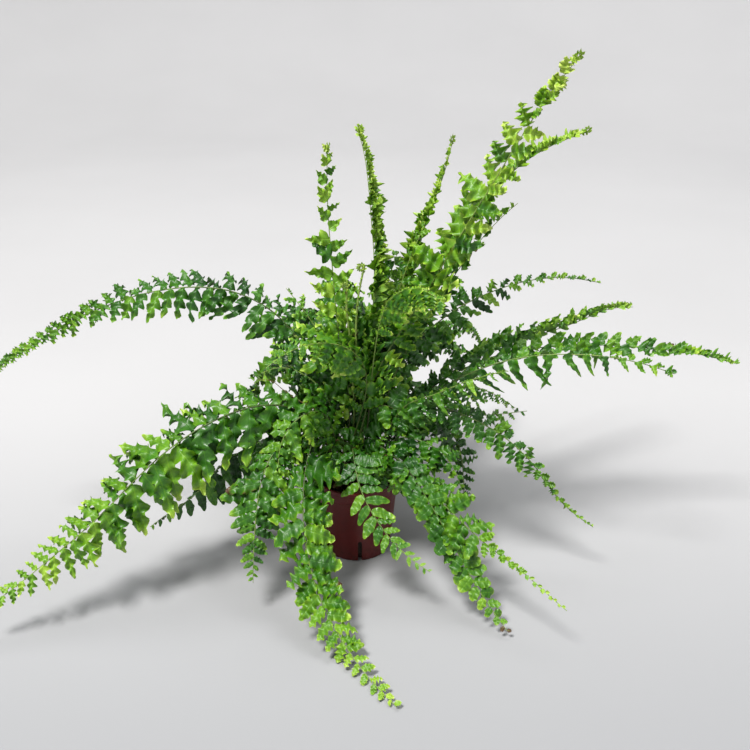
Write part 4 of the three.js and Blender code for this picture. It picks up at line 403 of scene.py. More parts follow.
class Build:
    """Gathers the vertices, faces and attributes of one frond."""

    def __init__(self):
        self.v, self.f, self.s, self.m, self.sharp = [], [], [], [], []
        self.tone, self.leaf, self.under, self.uv = [], [], [], []
        self.n = 0
        self.cells = []  # width, height (mm), and where its loops are

    def grids(self, top, thick, up, tone, leaf, mat, w_mm, h_mm, uvx, uvy):
        """Closed thin blades. top: n,R,K,3 points of the upper side; thick: n,R,K; up: n,R,K,3 or n,1,1,3."""
        n, R, K = top.shape[:3]
        inner = np.zeros((R, K), bool)
        inner[1:-1, 1:-1] = True
        hi = top + up * thick[..., None] * 0.5
        lo = top - up * thick[..., None] * 0.5
        hi[:, ~inner] = top[:, ~inner]
        nt, nb = R * K, int(inner.sum())
        ids_t = np.arange(R * K).reshape(R, K)
        ids_b = ids_t.copy()
        ids_b[inner] = R * K + np.arange(nb)
        base = self.n + np.arange(n) * (nt + nb)
        V = np.concatenate([hi.reshape(n, nt, 3), lo[:, inner]], 1)
        self.v.append(V.reshape(-1, 3))
        sh = np.concatenate([(~inner).ravel(), np.zeros(nb, bool)])
        self.sharp.append(np.tile(sh, n))
        for store, data in ((self.tone, tone), (self.leaf, leaf)):
            store.append(np.concatenate([data.reshape(n, nt, 3), data[:, inner]], 1).reshape(-1, 3))
        qt = np.stack([ids_t[:-1, :-1], ids_t[:-1, 1:], ids_t[1:, 1:], ids_t[1:, :-1]], -1).reshape(-1, 4)
        qb = np.stack([ids_b[:-1, :-1], ids_b[1:, :-1], ids_b[1:, 1:], ids_b[:-1, 1:]], -1).reshape(-1, 4)
        q = np.concatenate([qt, qb])
        F = (q[None] + base[:, None, None]).reshape(-1)
        self.f.append(F)
        k = len(q)
        self.s.append(np.full(n * k, 4))
        self.m.append(np.full(n * k, mat))
        un = np.concatenate([np.zeros(len(qt)), np.ones(len(qb))])
        self.under.append(np.tile(un, n))
        # flat coordinates of each corner, for the map
        gx, gy = uvx.reshape(n, nt), uvy.reshape(n, nt)
        lt = np.stack([ids_t[:-1, :-1], ids_t[:-1, 1:], ids_t[1:, 1:], ids_t[1:, :-1]], -1).reshape(-1)
        lb = np.stack([ids_t[:-1, :-1], ids_t[1:, :-1], ids_t[1:, 1:], ids_t[:-1, 1:]], -1).reshape(-1)
        for i in range(n):
            for li in (lt, lb):
                self.cells.append((w_mm[i], h_mm[i], np.stack([gx[i, li], gy[i, li]], 1)))
        self.n += n * (nt + nb)

    def tube(self, X, t, nrm, rgt, rad, tone, mat, sides=7):
        R = len(X)
        ang = np.arange(sides) / sides * 2 * math.pi
        ring = X[:, None] + rad[:, None, None] * (np.cos(ang)[None, :, None] * rgt[:, None] - np.sin(ang)[None, :, None] * nrm[:, None])
        self.v.append(ring.reshape(-1, 3))
        self.sharp.append(np.zeros(R * sides, bool))
        self.tone.append(np.repeat(tone, sides, 0))
        self.leaf.append(np.zeros((R * sides, 3)))
        a = self.n + np.arange(R - 1)[:, None] * sides + np.arange(sides)[None]
        b = self.n + np.arange(R - 1)[:, None] * sides + (np.arange(sides)[None] + 1) % sides
        q = np.stack([a, b, b + sides, a + sides], -1).reshape(-1, 4)
        self.f.append(q.ravel())
        self.s.append(np.full(len(q), 4))
        cap0 = self.n + np.arange(sides)[::-1]
        cap1 = self.n + (R - 1) * sides + np.arange(sides)
        self.f.append(np.concatenate([cap0, cap1]))
        self.s.append(np.array([sides, sides]))
        self.m.append(np.full(len(q) + 2, mat))
        self.under.append(np.zeros(len(q) + 2))
        step = np.linalg.norm(np.diff(X, axis=0), axis=1) / MM
        S = np.concatenate([[0], np.cumsum(step)])
        per = 14
        circ = 2 * math.pi * rad / MM
        for i0 in range(0, R - 1, per):
            i1 = min(R - 1, i0 + per)
            rows = np.arange(i0, i1)
            c = circ[i0:i1].max()
            x0 = np.repeat((S[rows] - S[i0])[:, None], sides, 1)
            x1 = np.repeat((S[rows + 1] - S[i0])[:, None], sides, 1)
            y0 = np.repeat((np.arange(sides) / sides * c)[None], len(rows), 0)
            y1 = y0 + c / sides
            uv = np.stack([np.stack([x0, y0], -1), np.stack([x0, y1], -1), np.stack([x1, y1], -1), np.stack([x1, y0], -1)], 2)
            self.cells.append((S[i1] - S[i0], c, uv.reshape(-1, 2)))
        r0, r1 = rad[0] / MM, rad[-1] / MM
        self.cells.append((2 * r0, 2 * r0, np.stack([r0 + r0 * np.cos(ang), r0 + r0 * np.sin(ang)], 1)))
        self.cells.append((2 * r1, 2 * r1, np.stack([r1 + r1 * np.cos(ang), r1 + r1 * np.sin(ang)], 1)))
        self.n += R * sides

    def pack(self):
        """Lays every flat piece on its own place of one square map, in rows."""
        pad = 0.55
        area = sum((w + pad) * (h + pad) for w, h, _ in self.cells)
        side = math.sqrt(area) * 1.06
        order = sorted(range(len(self.cells)), key=lambda i: -self.cells[i][1])
        place = [None] * len(self.cells)
        x = y = row = 0.0
        wide = 0.0
        for i in order:
            w, h, _ = self.cells[i]
            if x + w + pad > side and x > 0:
                x, y, row = 0.0, y + row, 0.0
            place[i] = (x, y)
            x += w + pad
            row = max(row, h + pad)
            wide = max(wide, x)
        big = max(wide, y + row)
        return np.concatenate([(uv + np.array(p) + pad / 2) / big for (_, _, uv), p in zip(self.cells, place)]).astype(np.float32)

    def make(self, name, mats):
        sharp = np.concatenate(self.sharp)
        ob = mesh_object(name, np.concatenate(self.v), np.concatenate(self.f), np.concatenate(self.s), mats, np.concatenate(self.m), sharp)
        me = ob.data
        vec_attr(me, "tone", np.concatenate(self.tone))
        vec_attr(me, "leaf", np.concatenate(self.leaf))
        a = me.attributes.new("under", "FLOAT", "FACE")
        a.data.foreach_set("value", np.concatenate(self.under).astype(np.float32))
        uv = me.uv_layers.new(name="OFBake", do_init=False)
        uv.uv.foreach_set("vector", self.pack().ravel())
        return ob


def frames_along(X, F):
    t = np.gradient(X, axis=0)
    t = unit(t)
    nrm = unit(F - (t @ F)[:, None] * t)
    k = min(12, max(2, len(X) // 6))
    pad = np.pad(nrm, ((k, k), (0, 0)), mode="edge")
    ker = np.hanning(2 * k + 3)[1:-1]
    ker /= ker.sum()
    nrm = np.stack([np.convolve(pad[:, i], ker, "valid") for i in range(3)], 1)
    nrm = unit(nrm - (nrm * t).sum(1, keepdims=True) * t)
    return t, nrm, np.cross(t, nrm)


def profile(u, taper=(0.40, 0.86), base=(0.55, 1.6)):
    return np.minimum(1, base[0] + base[1] * u) * (1 - taper[1] * smoothstep(taper[0], 1.0, u)) * (1 - 0.35 * smoothstep(0.93, 1.0, u))


def pinnae(b, st, rng, P, t, nrm, rgt, side, ln, hw, beta, delta, twist, lime, brown, R, K, mat=0, thick=0.26, closed=None, lap=0.0):
    """A batch of pinnae with the same mesh size. All arrays are per pinna; lengths in metres, angles in radians."""
    n = len(ln)
    closed = np.zeros(n) if closed is None else closed
    a = np.linspace(0.0, 1.0, R)
    c = np.sin(np.linspace(-1, 1, K) * math.pi / 2)
    c[K // 2] = 0.0
    ph = rng.uniform(0.2, 0.7, (n, 1))
    jit = rng.uniform(-0.15, 0.15, (n, 2))
    A = np.repeat(a[None], n, 0)
    php, phm = ph + jit[:, :1], ph + 0.35 + jit[:, 1:]
    mp = margin(st, A, 1, php)
    mn = margin(st, A, -1, phm)
    # no two margins quite alike
    mp = mp * (1 + 0.10 * np.sin(A * rng.uniform(6, 16, (n, 1)) + rng.uniform(0, 6, (n, 1))))
    mn = mn * (1 + 0.10 * np.sin(A * rng.uniform(6, 16, (n, 1)) + rng.uniform(0, 6, (n, 1))))
    tipmin = 0.00006
    hp = np.maximum(mp * hw[:, None], tipmin)
    hm = np.maximum(mn * hw[:, None] * 0.94, tipmin)
    hp[:, 0] = hm[:, 0] = 0.00035
    hp[:, 1] = np.minimum(hp[:, 1], np.maximum(0.3 * hw, 0.0004))
    hm[:, 1] = np.minimum(hm[:, 1], np.maximum(0.3 * hw, 0.0004))
    plus = c[None, None] >= 0
    Y = np.where(plus, c[None, None] * hp[..., None], c[None, None] * hm[..., None])
    sweep = st["fwd"] * np.sin(np.clip(A * 1.15, 0, 1) * math.pi)[..., None]
    Xl = A[..., None] * ln[:, None, None] + sweep * np.abs(Y) * 0.9
    yy = np.abs(Y)
    cc = np.abs(c)[None, None]
    H = hw[:, None, None]
    L = ln[:, None, None]
    one = lambda lo, hi: rng.uniform(lo, hi, (n, 1, 1))
    fold = st["fold"] * one(0.4, 1.5) + 0.95 * closed[:, None, None]
    lp = 2 * math.pi * (A[..., None] * st["teeth"] + np.where(plus, php[..., None], phm[..., None]))
    mid = np.sin(np.clip(A, 0, 1) * math.pi)[..., None] ** 0.5
    Z = fold * yy - st["curl"] * one(0.2, 1.5) * yy * cc * (0.55 - 0.45 * np.cos(lp))
    Z = Z + st["tilt"] * one(0.5, 1.4) * H * cc**1.5 * np.sin(lp + 0.6) * mid
    Z = Z + st["wave"] * one(0.3, 1.5) * L * np.sin(2 * math.pi * (1.15 * A[..., None] + one(0, 1))) * A[..., None] * (1 - 0.4 * cc)
    # the blade bulges a little between its side veins
    Z = Z + 0.06 * H * np.sin(math.pi * cc) * np.sin(2 * lp + 1.0) * mid
    rel = Xl / np.maximum(L, 1e-6)
    Z = Z - (st["bend"] * one(0.2, 1.9) - 0.25 * closed[:, None, None]) * L * rel**2
    Yf = Y + st["falc"] * one(0.2, 1.8) * L * rel**2
    # twist along the pinna
    tw = twist[:, None, None] * (0.5 + 0.8 * A[..., None])
    Y2 = Yf * np.cos(tw) - Z * np.sin(tw)
    Z2 = Yf * np.sin(tw) + Z * np.cos(tw)
    sg = side[:, None]
    rp = rgt * sg
    d0 = rp * np.cos(delta)[:, None] - nrm * np.sin(delta)[:, None]
    m0 = nrm * np.cos(delta)[:, None] + rp * np.sin(delta)[:, None]
    d = d0 * np.cos(beta)[:, None] + t * np.sin(beta)[:, None]
    q = t * np.cos(beta)[:, None] - d0 * np.sin(beta)[:, None]
    # the ear at its base laps a little over the stalk
    Xs = Xl - lap * ln[:, None, None] * smoothstep(0.02, 0.12, A)[..., None] * (1 - A[..., None])
    top = P[:, None, None] + d[:, None, None] * Xs[..., None] + q[:, None, None] * Y2[..., None] + m0[:, None, None] * Z2[..., None]
    # the way each point of the blade faces, from its own relief
    gu = np.gradient(top, axis=1)
    gv = np.gradient(top, axis=2)
    up = np.cross(gu, gv)
    ref = m0[:, None, None] * np.cos(tw)[..., None] - q[:, None, None] * np.sin(tw)[..., None]
    up = up * np.sign((up * ref).sum((1, 2, 3), keepdims=True))
    nn_ = np.linalg.norm(up, axis=-1, keepdims=True)
    up = np.where(nn_ > 1e-12, up / np.maximum(nn_, 1e-12), ref)
    th = thick * MM * (1 - cc**3) * np.ones_like(Y) * np.minimum(1, hw / 0.002)[:, None, None] + 0.00002
    # keep each blade above the floor
    top = top.copy()
    top[..., 2] = np.maximum(top[..., 2], 0.0006)
    edge = np.clip(cc, 0, 1) ** 3
    tipw = smoothstep(0.68, 1.0, A)[..., None]
    lm = lime[:, None, None] + st.get("rim", 0.12) * edge + st.get("tip", 0.16) * (tipw + 0.5 * edge * tipw) * (0.4 + 1.2 * one(0, 1))
    tone = np.stack([lm * np.ones_like(Y), one(0, 1) * np.ones_like(Y), brown[:, None, None] * (0.4 + 0.8 * np.maximum(tipw, edge * 0.6)) * np.ones_like(Y)], -1)
    space = np.maximum(ln / MM / 9.0, 0.9)[:, None, None]
    leaf = np.stack([Xl / MM, Y / MM, (Xl / MM - 0.8 * yy / MM) / space + 10.0], -1)
    # the blade's sides follow the hand: the left half is turned over so that faces point out
    right = side > 0
    ux = Xl / MM
    uy = Y / MM + (hm.max(1) / MM)[:, None, None]
    wmm = Xl.max((1, 2)) / MM
    hmm = (hp.max(1) + hm.max(1)) / MM
    for sel, flip in ((right, False), (~right, True)):
        if sel.any():
            s_ = slice(None, None, -1) if not flip else slice(None)
            b.grids(top[sel][:, :, s_], th[sel][:, :, s_], up[sel][:, :, s_], tone[sel][:, :, s_], leaf[sel][:, :, s_], mat, wmm[sel], hmm[sel], ux[sel][:, :, s_], uy[sel][:, :, s_])


def frond(spec, index):
    name, style, F, w, stipe, droop, dens, age, lobe, curl, tipm, pts = spec
    rng = np.random.default_rng(1000 + index)
    P = np.array([[float(v) for v in row.split(",")] for row in pts.split(";")]) * MM
    F = np.array(F) / np.linalg.norm(F)
    X, s = even(catmull(P, 8), 1.2 * MM)
    X[0, 2] -= 0.0022
    t, nrm, rgt = frames_along(X, F)
    L = s[-1]
    thin = style in ("N", "X") or w < 14
    r_base = (0.50 if thin else 0.60) * MM
    u = s / L
    rad = np.interp(u, [0, 0.02, 0.3, 0.8, 1.0], [r_base * 1.35, r_base, r_base * 0.86, r_base * 0.52, r_base * 0.36])
    if style == "N":
        rad = np.interp(u, [0, 0.6, 1.0], [r_base * 1.5, r_base * 1.3, r_base * 1.3])
    if curl > 0:
        turns, r0 = (1.2, 1.5 * MM) if curl < 1.5 else (1.6, 1.9 * MM)
        steps = int(26 * turns)
        pos, ang = X[-1].copy(), 0.0
        t0, n0, g0 = t[-1], nrm[-1], rgt[-1]
        ex, et = [], []
        for k in range(steps):
            f = k / steps
            r_ = r0 * (1 - 0.78 * f)
            ang += 2 * math.pi * turns / steps
            dr = math.cos(ang) * t0 + math.sin(ang) * n0
            pos = pos + dr * r_ * 2 * math.pi * turns / steps + g0 * 0.00001
            ex.append(pos.copy())
            et.append(dr)
        ex, et = np.array(ex), np.array(et)
        X = np.vstack([X, ex])
        t = np.vstack([t, et])
        rgt = np.vstack([rgt, np.repeat(g0[None], steps, 0)])
        nrm = np.vstack([nrm, np.cross(np.repeat(g0[None], steps, 0), et)])
        rad = np.concatenate([rad, np.linspace(rad[-1], rad[-1] * 0.45, steps)])
        s = np.concatenate([s, L + np.cumsum(np.full(steps, 0.0004))])
        u = np.concatenate([u, np.ones(steps)])
    wob = 0.5 * np.interp(np.arange(len(X)), np.linspace(0, len(X), 12), rng.normal(0, 1, 12))
    st_tone = np.interp(u, [0, 0.10, 0.25, 0.60, 1.0], [0.02, 0.14, 0.34, 0.72, 0.95]) + 0.06 * wob + 0.15 * (age - 0.3)
    tone = np.stack([st_tone, np.full(len(X), rng.uniform()), np.full(len(X), 1.0 if style == "X" else 0.0)], 1)
    b = Build()
    b.tube(X, t, nrm, rgt, rad, tone, 1)

    if style != "X":
        st = dict(STYLES[style])
        st.update(OWN.get(name, {}))
        s0 = stipe * L
        taper = st["taper"]
        c0, c1, cmax = HALF_OPEN.get(name, (2.0, 3.0, 0.0))
        rows = []
        pos, k = s0, int(rng.integers(0, 2))
        while pos < L - 0.0010:
            uu = (pos - s0) / (L - s0)
            rows.append((pos, uu, 1 if k % 2 else -1))
            k += 1
            size = float(profile(np.array(max(uu, 0.15)), taper))
            if tipm < 1:
                size *= 1 - (1 - tipm) * float(smoothstep(c0, c1, np.array(uu)))
            pos += 0.5 * dens * MM * max(0.74, size ** 0.2) * rng.uniform(0.84, 1.16)
        rows = np.array(rows)
        n = len(rows)
        ps, pu, side = rows[:, 0], rows[:, 1], rows[:, 2]
        at = np.interp(ps, s[: len(u)], np.arange(len(s)))
        i0 = np.clip(at.astype(int), 0, len(X) - 2)
        fr = (at - i0)[:, None]
        pick = lambda Q: Q[i0] * (1 - fr) + Q[i0 + 1] * fr
        Pp, tt, nn = pick(X), unit(pick(t)), pick(nrm)
        nn = unit(nn - (nn * tt).sum(1, keepdims=True) * tt)
        rr = np.cross(tt, nn)
        Pp = Pp + nn * (np.interp(ps, s[: len(u)], rad) * 0.9)[:, None]
        closed = cmax * smoothstep(c0, c1, pu) * rng.uniform(0.8, 1.15, n)
        ln = w * MM * st["size"] * profile(pu, taper, st.get("base", (0.55, 1.6))) * rng.uniform(0.86, 1.12, n)
        if tipm < 1:
            ln *= 1 - (1 - tipm) * smoothstep(c0, c1, pu)
        ln *= 1 + st.get("lop", 0.0) * side
        if style == "N":
            ln = np.full(n, 0.0022)
        ln = np.maximum(ln, 0.0022)
        ratio = (st["ratio"] * (1 - closed) + 1.02 * closed) * (1 - 0.15 * smoothstep(0.7, 1.0, pu)) * rng.uniform(0.9, 1.12, n)
        hw = 0.5 * ln / ratio
        beta = np.radians(st["beta"] + 20 * pu**1.6 + 24 * closed + rng.normal(0, st.get("spread", 7), n))
        delta = np.radians((droop + st.get("lift", 0.0) * (1 - 2 * pu)) * (1 - 0.7 * closed) - 26 * closed + rng.normal(0, st["dvar"], n))
        twist = np.radians(rng.normal(6, st["twist"], n) * (1 - 0.6 * closed))
        lime = 0.17 + 0.30 * age + st.get("pale", 0.26) * pu**1.4 + 0.06 * closed + rng.normal(0, st.get("vary", 0.07), n)
        brown = np.where(rng.uniform(0, 1, n) < 0.012, 0.55, 0.0)
        if name == "frond_right_front_low":
            brown = np.maximum(brown, 1.3 * smoothstep(0.93, 0.985, pu))
        for lo, hi, R, K in ((0.0, 0.0045, 10, 5), (0.0045, 0.0095, 18, 7), (0.0095, 1.0, 32, 7)):
            sel = (ln >= lo) & (ln < hi)
            if sel.any():
                pinnae(b, st, rng, Pp[sel], tt[sel], nn[sel], rr[sel], side[sel], ln[sel], hw[sel], beta[sel], delta[sel], twist[sel], lime[sel], brown[sel], R, K, closed=closed[sel], lap=0.09)
        # the pinnae that stay folded round the coil at the tip
        if curl > 0:
            m_ = len(X) - steps
            ids = np.arange(m_ - 4, len(X) - 2, 2)
            sd = np.where(np.arange(len(ids)) % 2, 1.0, -1.0)
            z = np.zeros(len(ids))
            l_ = np.full(len(ids), (0.0030 if curl < 1.5 else 0.0022)) * np.linspace(1, 0.6, len(ids))
            pinnae(b, STYLES["N"], rng, X[ids], t[ids], nrm[ids], rgt[ids], sd, l_, l_ * 0.40, z + 0.75, z + 0.95, z, z + 0.68, z, 8, 5)

    # brown papery scales on the lower stalk
    cnt = 16 if style != "N" else 46
    span = min(0.045, 0.3 * L) if style != "N" else L * 0.98
    sp = rng.uniform(0.003, 1.0, cnt) ** (1.4 if style != "N" else 1.0) * span
    ii = np.clip((sp / (1.2 * MM)).astype(int), 1, len(X) - 2)
    th_ = rng.uniform(0, 2 * math.pi, cnt)
    outw = np.cos(th_)[:, None] * rgt[ii] + np.sin(th_)[:, None] * nrm[ii]
    sid = np.cross(t[ii], outw)
    z = np.zeros(cnt)
    sl = rng.uniform(0.0016, 0.0034, cnt)
    scale_style = dict(STYLES["D"], teeth=1, depth=0.0, falc=0.0, ear=0.0, bend=-0.12)
    # a scale stands out a little from the stalk and points up along it
    pinnae(b, scale_style, rng, X[ii] + outw * rad[ii][:, None] * 0.7, sid, t[ii] * 0.0 + unit(np.cross(unit(outw + 1.4 * t[ii]), sid)), unit(outw + 1.4 * t[ii]), np.ones(cnt), sl, sl * 0.13, z, z, rng.normal(0, 0.3, cnt), z + 0.3, z, 5, 3, mat=2, thick=0.10)
    return b.make(name + "_foliage", [LEAF, STALK, SCALE])

